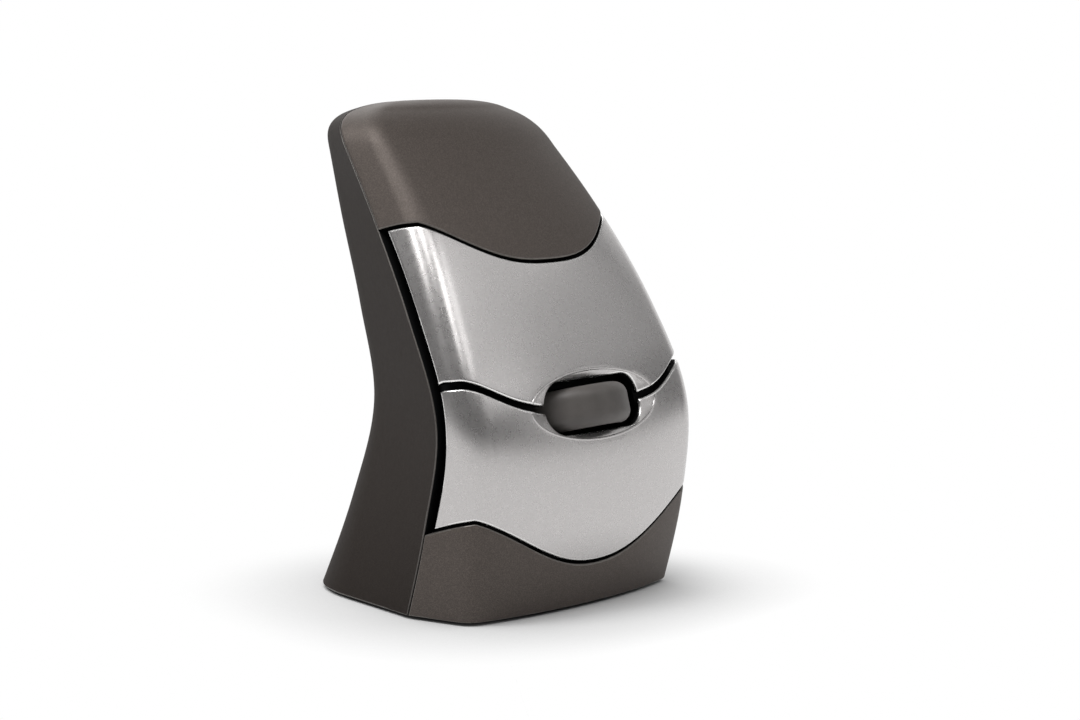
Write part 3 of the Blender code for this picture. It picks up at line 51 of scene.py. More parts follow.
# Outer skin: one value for each loft section, the sections stand STATION_STEP apart from the desk up.
# RIDGE_HALF, RIDGE_Y, REAR_Y, REAR_CORNER and most of FLANK_DEPTH are a fit to the photograph's outline,
# rounded to a quarter millimetre. The others were chosen.
STATION_STEP = 18.0
RIDGE_HALF = (28.75, 30.75, 32.0, 30.0, 26.25, 23.0)
RIDGE_Y = (-21.6, -24.85, -24.85, -17.6, -6.85, 8.4)
RIDGE_ROUND = (3.0, 3.6, 4.0, 3.8, 3.4, 2.2)
FRONT_BOW = (3.6, 4.0, 3.2, 3.4, 4.2, 4.8)
FLANK_DEPTH = (13.75, 10.5, 7.0, 8.0, 9.25, 7.4)
FLANK_OUT = (1.5, 1.5, 1.2, 1.2, 1.5, 1.5)
REAR_Y = (32.15, 25.15, 20.9, 24.65, 29.65, 33.15)
REAR_CORNER = (19.5, 14.75, 11.5, 10.75, 10.5, 10.5)
DOME_START = 83.0
DOME_RISE = 9.0
DOME_POWER = 3.0
DOME_LEAN = 0.08

# Wavy parting lines of the front, crested on the ridges: height at the middle, rise to the crests,
# sharpness, share of a half wave that the rise takes (1 arrives level), fall beyond the crests. They are a
# fit to the photograph's parting lines, rounded.
CREST_U = 1.5
CAP_WAVE = (63.2, 7.5, 1.37, 0.75, 0.9)
SPLIT_WAVE = (37.6, 5.8, 2.2, 0.92, 1.0)
SKIRT_WAVE = (8.6, 10.6, 1.1, 0.75, 1.6)
FALL_POWER = 1.4

SHELL_WALL = 2.0
BUTTON_WALL = 1.6
SHELL_BOTTOM = 0.6
SEAM = 0.3
CAP_GAP = 0.6
SPLIT_GAP = 1.3
SKIRT_GAP = 0.6
SIDE_REVEAL = 2.0

# Wheel slot, the scoop round it and the wheel
SLOT_Z = 37.6
SLOT_LENGTH = 27.5
SLOT_WIDTH = 10.0
SCOOP_LENGTH = 35.4
SCOOP_WIDTH = 12.9
SCOOP_DEPTH = 2.3
SCOOP_WALL = 0.9
SCOOP_LIP = 0.28            # radius of the thin lip along the scoop's rim
WHEEL_RADIUS = 12.0
WHEEL_WIDTH = 7.6
WHEEL_DEPTH = 8.4
WHEEL_DROP = 0.15
TYRE_THICK = 2.0
TYRE_SHOULDER = 2.3

# Rounding of the mouldings' edges, and how far from an edge its mesh lines stand
SHELL_EDGE = 0.28
BUTTON_EDGE = 0.4
EDGE_WAYS = (0.02, 0.06, 0.12, 0.2, 0.28, 0.4)
FILLET_REACH = 1.0          # ways to an edge are followed no further than this
FLANK_LENGTH = 11.0         # about, from ridge to side seam
SIDE_LENGTH = 28.0          # about, from side seam to the back's corner
CAP_HEIGHT = 16.0           # about, from the cap's parting line to the dome
SKIRT_HEIGHT = 12.0         # about, from the bottom edge to the skirt's parting line
BUTTON_HEIGHT = 22.0        # about, from the scoop's rim to a button's far edge
SCOOP_ROWS = 1.5            # width beside the slot and the split that the scoop's mesh rows cover

# Mesh columns and rows before the edges get their finer ones
FRONT_COLUMNS = 34          # half the front
RIDGE_COLUMNS = 12
FLANK_COLUMNS = 9
SPLIT_COLUMNS = 18          # from the slot's end to the ridge
SIDE_COLUMNS = 26
BACK_COLUMNS = 22           # half the rounded back
CAP_ROWS = 24
SKIRT_ROWS = 16
REAR_ROWS = 70
DOME_ROWS = 26
BUTTON_ROWS = 30
SCOOP_STEPS = 8
SLOT_STRAIGHT_STEPS = 12
SLOT_ROUND_STEPS = 14
LIP_STEPS = 180
LIP_SIDES = 12
LIP_SINK = 0.6              # share of the lip's radius that its middle lies under the skin
TYRE_SIDES = 160
SHOULDER_STEPS = 10
TREAD_STEPS = 8

# Small distances of the mesh work
U_STEP = 0.02               # either way of a point, to find the skin's direction there
V_STEP = 0.2
POLE_REACH = 0.4            # height under the pole within which the skin counts as level
SEAM_REACH = 0.03           # outline positions this near the side seam lie on it

TOP_STATION = STATION_STEP * (len(RIDGE_HALF) - 1)
DOME_END = DOME_START + DOME_RISE


# ---------------------------------------------------------------- outer skin

def loft(values, z):
    """Value at height z on a smooth curve through one value for each section."""
    last = len(values) - 1
    place = min(max(z / STATION_STEP, 0.0), last - 1e-9)
    low = int(place)
    t = place - low

    def slope(k):
        if k == 0:
            return 1.5 * (values[1] - values[0]) - 0.25 * (values[2] - values[0])
        if k == last:
            return 1.5 * (values[k] - values[k - 1]) - 0.25 * (values[k] - values[k - 2])
        return 0.5 * (values[k + 1] - values[k - 1])

    start, end = values[low], values[low + 1]
    rise = end - start
    return (start + slope(low) * t + (3 * rise - 2 * slope(low) - slope(low + 1)) * t ** 2
            + (slope(low) + slope(low + 1) - 2 * rise) * t ** 3)


def quadratic(a, b, c, t):
    return a * (1 - t) ** 2 + b * (2 * t * (1 - t)) + c * t ** 2


def outline(u, z):
    """Point of the level outline. u counts 0 front middle, 1-2 ridge, 3 side seam, 4-5 rounded back;
    negative u is the -X side, and the count wraps round at the back."""
    u = (u + 5.0) % 10.0 - 5.0
    side = -1.0 if u < 0 else 1.0
    u = abs(u)
    half = loft(RIDGE_HALF, z)
    bow = loft(FRONT_BOW, z)
    ridge = Vector((half, loft(RIDGE_Y, z)))
    front = Vector((0.0, ridge.y - bow))
    seam = ridge + Vector((loft(FLANK_OUT, z), loft(FLANK_DEPTH, z)))
    lean = Vector((half, 2 * bow)).normalized()
    start = ridge - lean * loft(RIDGE_ROUND, z)
    end = ridge + (seam - ridge).normalized() * loft(RIDGE_ROUND, z)
    if u <= 1:
        handle = start.x - (start.y - front.y) * lean.x / lean.y
        x = u * start.x
        t = x / (handle + sqrt(handle ** 2 + (start.x - 2 * handle) * x))
        point = quadratic(front, Vector((handle, front.y)), start, t)
    elif u <= 2:
        point = quadratic(start, ridge, end, u - 1)
    elif u <= 3:
        point = end.lerp(seam, u - 2)
    else:
        corner = Vector((loft(REAR_CORNER, z), loft(REAR_Y, z)))
        turn = corner - (corner - seam).normalized() * corner.x
        if u <= 4:
            point = seam.lerp(turn, u - 3)
        else:
            point = quadratic(turn, corner, Vector((0.0, corner.y)), u - 4)
    return Vector((side * point.x, point.y))


def skin(u, v, pole_shift=0.0):
    """Point of the outer skin. v is the height up to DOME_START and then the way over the dome."""
    climb = max(v - DOME_START, 0.0) / DOME_RISE * pi / 2
    lift = sin(climb) ** (2 / DOME_POWER)
    shrink = max(cos(climb), 0.0) ** (2 / DOME_POWER)
    z = min(v, DOME_START) + DOME_RISE * lift
    flat = outline(u, min(z, TOP_STATION))
    pole_y = outline(3.0, TOP_STATION).y + pole_shift
    back = (flat.y - pole_y) * shrink
    return Vector((flat.x * shrink, pole_y + back, z - DOME_LEAN * lift * back))


def normal(u, v, low, high):
    """Outward direction of the skin between the outline positions low and high."""
    if v > DOME_END - POLE_REACH:
        return Vector((0.0, 0.0, 1.0))
    across = skin(min(u + U_STEP, high), v) - skin(max(u - U_STEP, low), v)
    along = skin(u, v + V_STEP) - skin(u, v - V_STEP)
    return across.cross(along).normalized()


def front_normal(u, v):
    return normal(u, v, -3.0, 3.0)


def seam_offset(u, v):
    """Inward vector for a wall of 1 on the mitre that both sides of the side seam share."""
    edge = 3.0 if u % 10.0 < 5.0 else -3.0
    ahead = normal(edge, v, -3.0, 3.0)
    behind = normal(edge % 10.0, v, 3.0, 7.0)
    mitre = (ahead + behind).normalized()
    return -mitre / mitre.dot(ahead)


def flank_u(v, reveal):
    """Outline position on the flank that stops short of the side seam by reveal."""
    z = min(v, TOP_STATION)
    return 3.0 - reveal / (outline(3.0, z) - outline(2.0, z)).length


def side_u(v, reveal):
    """Outline position on the side, reveal behind the side seam."""
    z = min(v, TOP_STATION)
    return 3.0 + reveal / (outline(4.0, z) - outline(3.0, z)).length


def wave(u, line):
    """Height of a wavy parting line at outline position u."""
    middle, rise, power, turn, fall = line
    crest = middle + rise
    across = min(abs(outline(u, crest).x) / outline(CREST_U, crest).x, 1.0)
    back = max(abs(u) - CREST_U, 0.0)
    sweep = (1 - cos(pi * turn * across ** power)) / (1 - cos(pi * turn))
    return middle + rise * sweep - fall * back ** FALL_POWER


# ---------------------------------------------------------------- mesh helpers

def steps(count, start=0.0, end=1.0):
    return [start + (end - start) * k / count for k in range(count + 1)]


def mirrored(half):
    """Whole row from its +X half, which starts on the mirror plane."""
    return [(-u, v) for u, v in reversed(half[1:])] + half


def edged_steps(count, length, start=True, end=True):
    """Shares from 0 to 1 with more of them at the ends of a way of that length, for its rounded edges."""
    fine = [way / length for way in EDGE_WAYS]
    inner = [s for s in steps(count) if fine[-1] < s < 1 - fine[-1]]
    head = [0.0] + fine if start else [0.0]
    tail = [1 - s for s in reversed(fine)] + [1.0] if end else [1.0]
    return head + inner + tail


def blend_rows(first, last, shares):
    """Rows between two lines of (u, v), one for each share from 0 at the first to 1 at the last."""
    return [[(a[0] + (b[0] - a[0]) * s, a[1] + (b[1] - a[1]) * s) for a, b in zip(first, last)]
            for s in shares]


def edge_ways(grid):
    """Way of every grid point to the nearest end of its row or column. A last row that is a single point, the
    pole, is no end."""
    height, width = len(grid), len(grid[0])
    runs = [[(r, c) for c in range(width)] for r in range(height)]
    runs += [run[::-1] for run in runs]
    runs += [[(r, c) for r in range(height)] for c in range(width)]
    if (grid[-1][0] - grid[-1][width // 2]).length > SEAM:
        runs += [[(r, c) for r in reversed(range(height))] for c in range(width)]
    ways = [[DOME_END] * width for _ in grid]
    for run in runs:
        way = 0.0
        last = grid[run[0][0]][run[0][1]]
        for r, c in run:
            way += (grid[r][c] - last).length
            if way > FILLET_REACH:
                break
            last = grid[r][c]
            ways[r][c] = min(ways[r][c], way)
    return ways


def add_skin(shape, rows, outside, inside, edge):
    """Closed moulding over a grid of (u, v) with edges rounded by edge: a painted outer face (material 0), a
    black inner face and rim (material 1), painted shade that keeps the gaps and the slot dark, and the
    rounding (material 2) in a lighter copy of the paint, a painted highlight."""
    outer = [[outside(u, v) for u, v in row] for row in rows]
    inner = [[inside(u, v) for u, v in row] for row in rows]
    ways = edge_ways(outer)
    merged = {}
    pairs = []
    grid = []
    for r in range(len(rows)):
        grid.append([])
        for point, under, way in zip(outer[r], inner[r], ways[r]):
            key = tuple(round(value, 4) for value in point)
            if key not in merged:
                missing = max(edge - way, 0.0)
                depth = edge - sqrt(edge ** 2 - missing ** 2)
                rounded = point + (under - point).normalized() * depth
                merged[key] = len(pairs)
                pairs.append((shape.verts.new(rounded), shape.verts.new(under), way))
            grid[r].append(merged[key])
    edges = set()
    for below, above in zip(grid[:-1], grid[1:]):
        for c in range(len(below) - 1):
            loop = []
            for index in (below[c], below[c + 1], above[c + 1], above[c]):
                if index not in loop:
                    loop.append(index)
            if len(loop) < 3:
                continue
            face = shape.faces.new([pairs[i][0] for i in loop])
            # faces on the rounding take material 2, a lighter copy of the paint: painted highlight along the
            # edges
            if max(pairs[i][2] for i in loop) < edge * 1.05:
                face.material_index = 2
            # inner faces take material 1, black: painted shade seen in the gaps
            shape.faces.new([pairs[i][1] for i in reversed(loop)]).material_index = 1
            edges.update((loop[i - 1], loop[i]) for i in range(len(loop)))
    # rims take material 1 as well, black: painted shade inside the gaps and the slot
    for a, b in edges:
        if (b, a) not in edges:
            shape.faces.new((pairs[b][0], pairs[a][0], pairs[a][1], pairs[b][1])).material_index = 1


def make_piece(name, shape, body, finish, nodes=(), frame_matrix=None, edged=False):
    """Shaded piece from a bmesh in millimetres, riding on a body for its CAD nodes."""
    if frame_matrix is not None:
        bmesh.ops.transform(shape, verts=shape.verts, matrix=frame_matrix)
    bmesh.ops.scale(shape, verts=shape.verts, vec=(MM, MM, MM))
    mesh = bpy.data.meshes.new(name)
    shape.to_mesh(mesh)
    shape.free()
    mesh.materials.append(MATERIALS[finish])
    if edged:
        # slot 1: black, painted shade for the inner faces and rims seen through the gaps
        mesh.materials.append(MATERIALS["black_plastic"])
        # slot 2: a lighter copy of the finish, painted highlight on the rounded edges
        mesh.materials.append(MATERIALS[finish + "_edge"])
    mesh.shade_smooth()
    made = bpy.data.objects.new(name, mesh)
    bpy.context.collection.objects.link(made)
    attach(made, body)
    if nodes:
        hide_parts(*nodes)
    return made


# ---------------------------------------------------------------- mouldings

def front_half(line, columns, reveal):
    """Half row along a parting line; line gives the height at an outline position."""
    row = []
    for c in columns:
        u = c if c <= 2 else 2 + (c - 2) * (flank_u(line(c), reveal) - 2)
        row.append((u, line(u)))
    return row


def front_columns():
    ends = edged_steps(FLANK_COLUMNS, FLANK_LENGTH, start=False)[1:]
    return steps(FRONT_COLUMNS) + steps(RIDGE_COLUMNS, 1.0, 2.0)[1:] + [2.0 + s for s in ends]


def level_bottom(point):
    """The same point, but no lower than the shells' bottom edge."""
    return Vector((point.x, point.y, max(point.z, SHELL_BOTTOM)))


def shell_inside(u, v, shift=0.0):
    inward = seam_offset(u, v) if abs(u) > 3.0 - SEAM_REACH else -front_normal(u, v)
    return level_bottom(skin(u, v, shift) + inward * SHELL_WALL)


def make_upper_cover():
    columns = front_columns()
    shift = -SEAM / 2
    low = mirrored(front_half(lambda u: wave(u, CAP_WAVE) + CAP_GAP / 2, columns, SEAM / 2))
    high = mirrored(front_half(lambda u: DOME_START, columns, SEAM / 2))
    rows = blend_rows(low, high, edged_steps(CAP_ROWS, CAP_HEIGHT, end=False))
    for v in steps(DOME_ROWS, DOME_START, DOME_END)[1:]:
        rows.append([(u, v) for u, _ in high])
    shape = bmesh.new()
    add_skin(shape, rows, lambda u, v: skin(u, v, shift), lambda u, v: shell_inside(u, v, shift), SHELL_EDGE)
    make_piece("cap_shell", shape, "housing", "dark_metallic_paint", ["upper_cover"], edged=True)


def make_lower_cover():
    columns = front_columns()
    low = mirrored(front_half(lambda u: SHELL_BOTTOM, columns, SEAM / 2))
    high = mirrored(front_half(lambda u: wave(u, SKIRT_WAVE) - SKIRT_GAP / 2, columns, SEAM / 2))
    rows = blend_rows(low, high, edged_steps(SKIRT_ROWS, SKIRT_HEIGHT))
    shape = bmesh.new()
    add_skin(shape, rows, skin, shell_inside, SHELL_EDGE)
    make_piece("skirt_shell", shape, "housing", "dark_metallic_paint", ["lower_cover"], edged=True)


def make_rear_shell():
    def row(v):
        start = side_u(v, SEAM / 2)
        half = [start + (4.0 - start) * s for s in edged_steps(SIDE_COLUMNS, SIDE_LENGTH, end=False)]
        half += steps(BACK_COLUMNS, 4.0, 5.0)[1:]
        return [(u, v) for u in half] + [(10.0 - u, v) for u in reversed(half[:-1])]

    shift = SEAM / 2
    height = DOME_START - SHELL_BOTTOM
    rows = [row(SHELL_BOTTOM + height * s) for s in edged_steps(REAR_ROWS, height, end=False)]
    for v in steps(DOME_ROWS, DOME_START, DOME_END)[1:]:
        rows.append([(u, v) for u, _ in row(DOME_START)])

    def inside(u, v):
        at_seam = u < 3.0 + SEAM_REACH or u > 7.0 - SEAM_REACH
        inward = seam_offset(u, v) if at_seam else -normal(u, v, 3.0, 7.0)
        return level_bottom(skin(u, v, shift) + inward * SHELL_WALL)

    shape = bmesh.new()
    add_skin(shape, rows, lambda u, v: skin(u, v, shift), inside, SHELL_EDGE)
    # the palm shell's paint is darker than the cap's: painted shade for its side
    make_piece("palm_shell", shape, "housing", "dark_soft_paint", ["rear_shell"], edged=True)


def front_slope():
    rise = skin(0.0, SLOT_Z + 1.0) - skin(0.0, SLOT_Z - 1.0)
    return atan2(rise.y, rise.z)


TILT = front_slope()
# Frame of the wheel: X across, Y inwards from the skin, Z up along the face.
FACE = Matrix.Translation(skin(0.0, SLOT_Z - WHEEL_DROP)) @ Matrix.Rotation(-TILT, 4, 'X')


def scoop(u, v):
    """Depth of the finger scoop round the wheel slot."""
    x = outline(u, v).x
    up = (v - SLOT_Z) / cos(TILT)
    reach = (2 * x / SCOOP_LENGTH) ** 2 + (2 * up / SCOOP_WIDTH) ** 2
    return SCOOP_DEPTH * max(1.0 - reach, 0.0)


def slot_edge(sign):
    """Half of the slot's edge above (+1) or below (-1) its middle, from the middle to the split line.
    The angle where the edge meets that line is found by a few rounds of substitution."""
    radius = SLOT_WIDTH / 2
    straight = SLOT_LENGTH / 2 - radius
    angle = 0.0
    for _ in range(8):
        x = straight + radius * cos(angle)
        rise = wave(x / outline(1.0, SLOT_Z).x, SPLIT_WAVE) + sign * SPLIT_GAP / 2 - SLOT_Z
        angle = asin(sign * rise / (radius * cos(TILT)))
    places = [(x, radius) for x in steps(SLOT_STRAIGHT_STEPS, 0.0, straight)]
    for a in steps(SLOT_ROUND_STEPS, pi / 2, angle)[1:]:
        places.append((straight + radius * cos(a), radius * sin(a)))
    row = []
    for x, up in places:
        z = SLOT_Z + sign * up * cos(TILT)
        row.append((x / outline(1.0, z).x, z))
    return row


def scoop_edge(u, sign):
    """Height of the scoop's rim over outline position u, or of the slot's middle outside it."""
    x = outline(u, SLOT_Z).x
    rest = max(1.0 - (2 * x / SCOOP_LENGTH) ** 2, 0.0)
    return SLOT_Z + sign * SCOOP_WIDTH / 2 * sqrt(rest) * cos(TILT)


def button_rows(sign, far_line):
    """Rows of a button from the slot and split line to its far parting line."""
    near = slot_edge(sign)
    last = near[-1][0]
    tail = [u for u in front_columns() if u > 1.0]
    outer = [last + (1.0 - last) * s for s in steps(SPLIT_COLUMNS)[1:]] + tail
    near += front_half(lambda u: wave(u, SPLIT_WAVE) + sign * SPLIT_GAP / 2, outer, SIDE_REVEAL)
    rim = []
    for u, v in near:
        far = v + sign * SCOOP_ROWS
        if u < 1:
            far = max(scoop_edge(u, sign) * sign, far * sign) * sign
        rim.append((u, far))
    spread = steps(len(near) - len(tail) - 1) + tail
    far_row = front_half(far_line, spread, SIDE_REVEAL)
    rows = blend_rows(near, rim, edged_steps(SCOOP_STEPS, SCOOP_ROWS, end=False))[:-1]
    rows += blend_rows(rim, far_row, edged_steps(BUTTON_ROWS, BUTTON_HEIGHT, start=False))
    rows = [mirrored(row) for row in rows]
    return rows if sign > 0 else rows[::-1]


def make_button(name, sign, far_line, body, node):
    shape = bmesh.new()
    add_skin(shape, button_rows(sign, far_line),
             lambda u, v: skin(u, v) - front_normal(u, v) * scoop(u, v),
             lambda u, v: skin(u, v) - front_normal(u, v) * max(scoop(u, v) + SCOOP_WALL, BUTTON_WALL),
             BUTTON_EDGE)
    make_piece(name, shape, body, "silver_metallic_paint", [node], edged=True)


def make_lip(name, sign, body):
    """Thin raised lip along the part of the scoop's rim that lies on one button."""
    path = []
    for a in steps(LIP_STEPS, 0.0, pi):
        z = SLOT_Z + sign * SCOOP_WIDTH / 2 * sin(a) * cos(TILT)
        u = SCOOP_LENGTH / 2 * cos(a) / outline(1.0, z).x
        if sign * (z - wave(u, SPLIT_WAVE)) > SPLIT_GAP / 2 + SCOOP_LIP / 2:
            out = front_normal(u, z)
            path.append((skin(u, z) - out * SCOOP_LIP * LIP_SINK, out))
    shape = bmesh.new()
    rings = []
    for k, (middle, out) in enumerate(path):
        along = path[min(k + 1, len(path) - 1)][0] - path[max(k - 1, 0)][0]
        across = along.cross(out).normalized()
        rings.append([shape.verts.new(middle + (out * cos(b) + across * sin(b)) * SCOOP_LIP)
                      for b in steps(LIP_SIDES, 0.0, 2 * pi)[:-1]])
    for here, there in zip(rings[:-1], rings[1:]):
        for i in range(len(here)):
            j = (i + 1) % len(here)
            shape.faces.new((here[i], here[j], there[j], there[i]))
    shape.faces.new(rings[0][::-1])
    shape.faces.new(rings[-1])
    bmesh.ops.recalc_face_normals(shape, faces=shape.faces)
    make_piece(name, shape, body, "silver_metallic_paint")


# ---------------------------------------------------------------- wheel

def make_tyre():
    """Tyre with softly rounded shoulders, turned about the wheel's axle."""
    half = WHEEL_WIDTH / 2
    inner = WHEEL_RADIUS - TYRE_THICK
    shoulder = TYRE_SHOULDER
    profile = [(inner, -half), (WHEEL_RADIUS - shoulder, -half)]
    for a in steps(SHOULDER_STEPS, -pi / 2, 0.0)[1:]:
        profile.append((WHEEL_RADIUS - shoulder + shoulder * cos(a), -half + shoulder + shoulder * sin(a)))
    for z in steps(TREAD_STEPS, -half + shoulder, half - shoulder)[1:]:
        profile.append((WHEEL_RADIUS, z))
    for a in steps(SHOULDER_STEPS, 0.0, pi / 2)[1:]:
        profile.append((WHEEL_RADIUS - shoulder + shoulder * cos(a), half - shoulder + shoulder * sin(a)))
    profile.append((inner, half))
    shape = bmesh.new()
    rings = []
    for k in range(TYRE_SIDES):
        angle = 2 * pi * k / TYRE_SIDES
        rings.append([shape.verts.new((r * cos(angle), r * sin(angle), z)) for r, z in profile])
    count = len(profile)
    for k in range(TYRE_SIDES):
        here, there = rings[k], rings[(k + 1) % TYRE_SIDES]
        for i in range(count):
            j = (i + 1) % count
            shape.faces.new((here[i], there[i], there[j], here[j]))
    place = FACE @ Matrix.Translation((0.0, WHEEL_DEPTH, 0.0))
    make_piece("wheel_tread", shape, "wheel", "wheel_rubber", ["wheel_tyre"], frame_matrix=place)


# ---------------------------------------------------------------- materials

# Noise and cell scales count features to the metre; depths are in metres
FLAKE_SPAN = (0.35, 0.95)           # share of the cells' range over which a flake goes from dark to bright
COAT_ROUGHNESS = 0.22
PAINT_MOTTLE = 900.0
TILT_GRAIN = 0.7                    # of the flakes' scale
FINE_DEPTH = 0.00002
PLASTIC_MOTTLE = 400.0
PLASTIC_GLOSS_GRAIN = 1500.0
PLASTIC_GRAIN = 4200.0
PLASTIC_DEPTH = 0.00003
RUBBER_GRAIN = 5000.0
NOISE_SPAN = (0.3, 0.7)
SCRATCH_SCALE = (300.0, 6000.0, 6000.0)
FLAKE_GRAIN = 9000.0
SILVER_GRAIN = 9500.0


class Nodes:
    """Small helper that adds and links the shader nodes of a material or a world."""

    def __init__(self, owner):
        owner.use_nodes = True
        self.owner = owner
        self.tree = owner.node_tree
        self.shader = self.tree.nodes.get("Principled BSDF")

    def add(self, kind, **values):
        node = self.tree.nodes.new(kind)
        for key, value in values.items():
            if hasattr(node, key):
                setattr(node, key, value)
            else:
                node.inputs[key.replace("_", " ")].default_value = value
        return node

    def link(self, source, target):
        self.tree.links.new(source, target)

    def place(self):
        return self.add("ShaderNodeTexCoord").outputs["Object"]

    def noise(self, scale, detail=2.0):
        node = self.add("ShaderNodeTexNoise", Scale=scale, Detail=detail)
        self.link(self.place(), node.inputs["Vector"])
        return node.outputs["Fac"]

    def cells(self, scale):
        node = self.add("ShaderNodeTexVoronoi", Scale=scale)
        self.link(self.place(), node.inputs["Vector"])
        return node.outputs["Color"]

    def math(self, operation, first, second):
        node = self.add("ShaderNodeMath", operation=operation)
        self.link(first, node.inputs[0])
        self.link(second, node.inputs[1])
        return node.outputs["Value"]

    def ramp(self, source, low, high, start=0.0, end=1.0):
        """Colour between low and high as source runs from start to end."""
        node = self.add("ShaderNodeValToRGB")
        node.color_ramp.elements[0].position = start
        node.color_ramp.elements[1].position = end
        node.color_ramp.elements[0].color = (*low, 1.0)
        node.color_ramp.elements[1].color = (*high, 1.0)
        self.link(source, node.inputs["Fac"])
        return node.outputs["Color"]

    def span(self, source, low, high):
        """Number between low and high as source runs from 0 to 1."""
        node = self.add("ShaderNodeMapRange")
        node.inputs["To Min"].default_value = low
        node.inputs["To Max"].default_value = high
        self.link(source, node.inputs["Value"])
        return node.outputs["Result"]

    def fade(self, source, low, high):
        """Smooth rise from 0 at low to 1 at high."""
        node = self.add("ShaderNodeMapRange", interpolation_type='SMOOTHSTEP')
        node.inputs["From Min"].default_value = low
        node.inputs["From Max"].default_value = high
        self.link(source, node.inputs["Value"])
        return node.outputs["Result"]

    def mirrored_rays(self, path):
        """1 for what metal and glass see, from a Light Path node."""
        return self.math('MAXIMUM', path.outputs["Is Glossy Ray"], path.outputs["Is Transmission Ray"])

    def bump(self, height, distance, strength):
        node = self.add("ShaderNodeBump", Distance=distance, Strength=strength)
        self.link(height, node.inputs["Height"])
        self.link(node.outputs["Normal"], self.shader.inputs["Normal"])

    def set(self, **values):
        for key, value in values.items():
            self.shader.inputs[key.replace("_", " ")].default_value = value

    def vary_roughness(self, source, middle, swing):
        """Roughness that runs from middle - swing to middle + swing with source."""
        self.link(self.span(source, middle - swing, middle + swing), self.shader.inputs["Roughness"])


def new_material(name):
    return Nodes(bpy.data.materials.new(name))


def flake_paint(name, colour, bright, metallic, roughness, grain, coat, tilt):
    """Metallic-flake paint: tiny tilted flakes between colour and bright, and a thin coat."""
    made = new_material(name)
    shade = made.ramp(made.cells(grain), colour, bright, FLAKE_SPAN[0], FLAKE_SPAN[1])
    made.link(shade, made.shader.inputs["Base Color"])
    made.set(Metallic=metallic, Coat_Weight=coat, Coat_Roughness=COAT_ROUGHNESS)
    made.vary_roughness(made.noise(PAINT_MOTTLE), roughness, 0.04)
    made.bump(made.noise(grain * TILT_GRAIN, 1.0), FINE_DEPTH, tilt)
    return made.owner


def moulded(name, colour, roughness, grain=PLASTIC_GRAIN, depth=PLASTIC_DEPTH):
    """Moulded plastic with a fine eroded texture."""
    made = new_material(name)
    darker = [c * 0.9 for c in colour]
    lighter = [min(c * 1.1, 1.0) for c in colour]
    shade = made.ramp(made.noise(PLASTIC_MOTTLE, 3.0), darker, lighter, NOISE_SPAN[0], NOISE_SPAN[1])
    made.link(shade, made.shader.inputs["Base Color"])
    made.vary_roughness(made.noise(PLASTIC_GLOSS_GRAIN), roughness, 0.06)
    made.bump(made.noise(grain), depth, 0.5)
    return made.owner


def metal(name, colour, roughness):
    """Plated or drawn metal with fine scratches along one way."""
    made = new_material(name)
    stretch = made.add("ShaderNodeMapping", Scale=SCRATCH_SCALE)
    made.link(made.place(), stretch.inputs["Vector"])
    scratches = made.add("ShaderNodeTexNoise", Scale=1.0, Detail=3.0)
    made.link(stretch.outputs["Vector"], scratches.inputs["Vector"])
    darker = [c * 0.85 for c in colour]
    shade = made.ramp(scratches.outputs["Fac"], darker, colour, NOISE_SPAN[0], NOISE_SPAN[1])
    made.link(shade, made.shader.inputs["Base Color"])
    made.set(Metallic=1.0)
    made.vary_roughness(scratches.outputs["Fac"], roughness, 0.08)
    return made.owner


# Finish: dark and bright flake colour, metallic, roughness, grain, coat. The lighter copies of a finish go on
# the rounded edges of a moulding: painted highlight along those edges.
FLAKE_PAINTS = {
    "dark_metallic_paint_edge": ((0.11, 0.10, 0.09), (0.2, 0.18, 0.165), 0.5, 0.35, FLAKE_GRAIN, 0.2),
    "dark_soft_paint_edge": ((0.07, 0.063, 0.058), (0.12, 0.11, 0.10), 0.3, 0.4, FLAKE_GRAIN, 0.1),
    "silver_metallic_paint_edge": ((0.80, 0.79, 0.78), (0.95, 0.94, 0.93), 0.9, 0.25, SILVER_GRAIN, 0.4),
    "dark_metallic_paint": ((0.074, 0.061, 0.0535), (0.128, 0.106, 0.093), 0.55, 0.54, FLAKE_GRAIN, 0.0),
    # dark_soft_paint, on the palm shell, is a darker matte copy of the cap's paint: its darkness is painted
    # shade for the side that faces away from the light
    "dark_soft_paint": ((0.022, 0.0175, 0.0152), (0.034, 0.0275, 0.024), 0.0, 0.65, FLAKE_GRAIN, 0.0),
    "silver_metallic_paint": ((0.510, 0.493, 0.488), (0.610, 0.590, 0.583), 0.92, 0.28, SILVER_GRAIN, 0.1),
}
FLAKE_TILT = 0.15
SILVER_TILT = 0.08
# Finish: colour, roughness
PLASTICS = {
    "black_plastic": ((0.003, 0.003, 0.0033), 0.6),
    "white_plastic": ((0.72, 0.71, 0.68), 0.4),
    "red_plastic": ((0.42, 0.02, 0.015), 0.4),
    "circuit_board": ((0.015, 0.13, 0.05), 0.4),
    "chip_epoxy": ((0.018, 0.018, 0.02), 0.45),
    "low_friction_pad": ((0.08, 0.08, 0.082), 0.35),
    "ribbon_cable_jacket": ((0.5, 0.5, 0.48), 0.5),
    "clear_plastic": ((0.75, 0.78, 0.8), 0.12),
}
SHADER_LEVELS = (
    ("clear_plastic", "Transmission Weight", 0.8),
    ("black_plastic", "Specular IOR Level", 0.12),
    ("dark_soft_paint", "Specular IOR Level", 0.08),
)


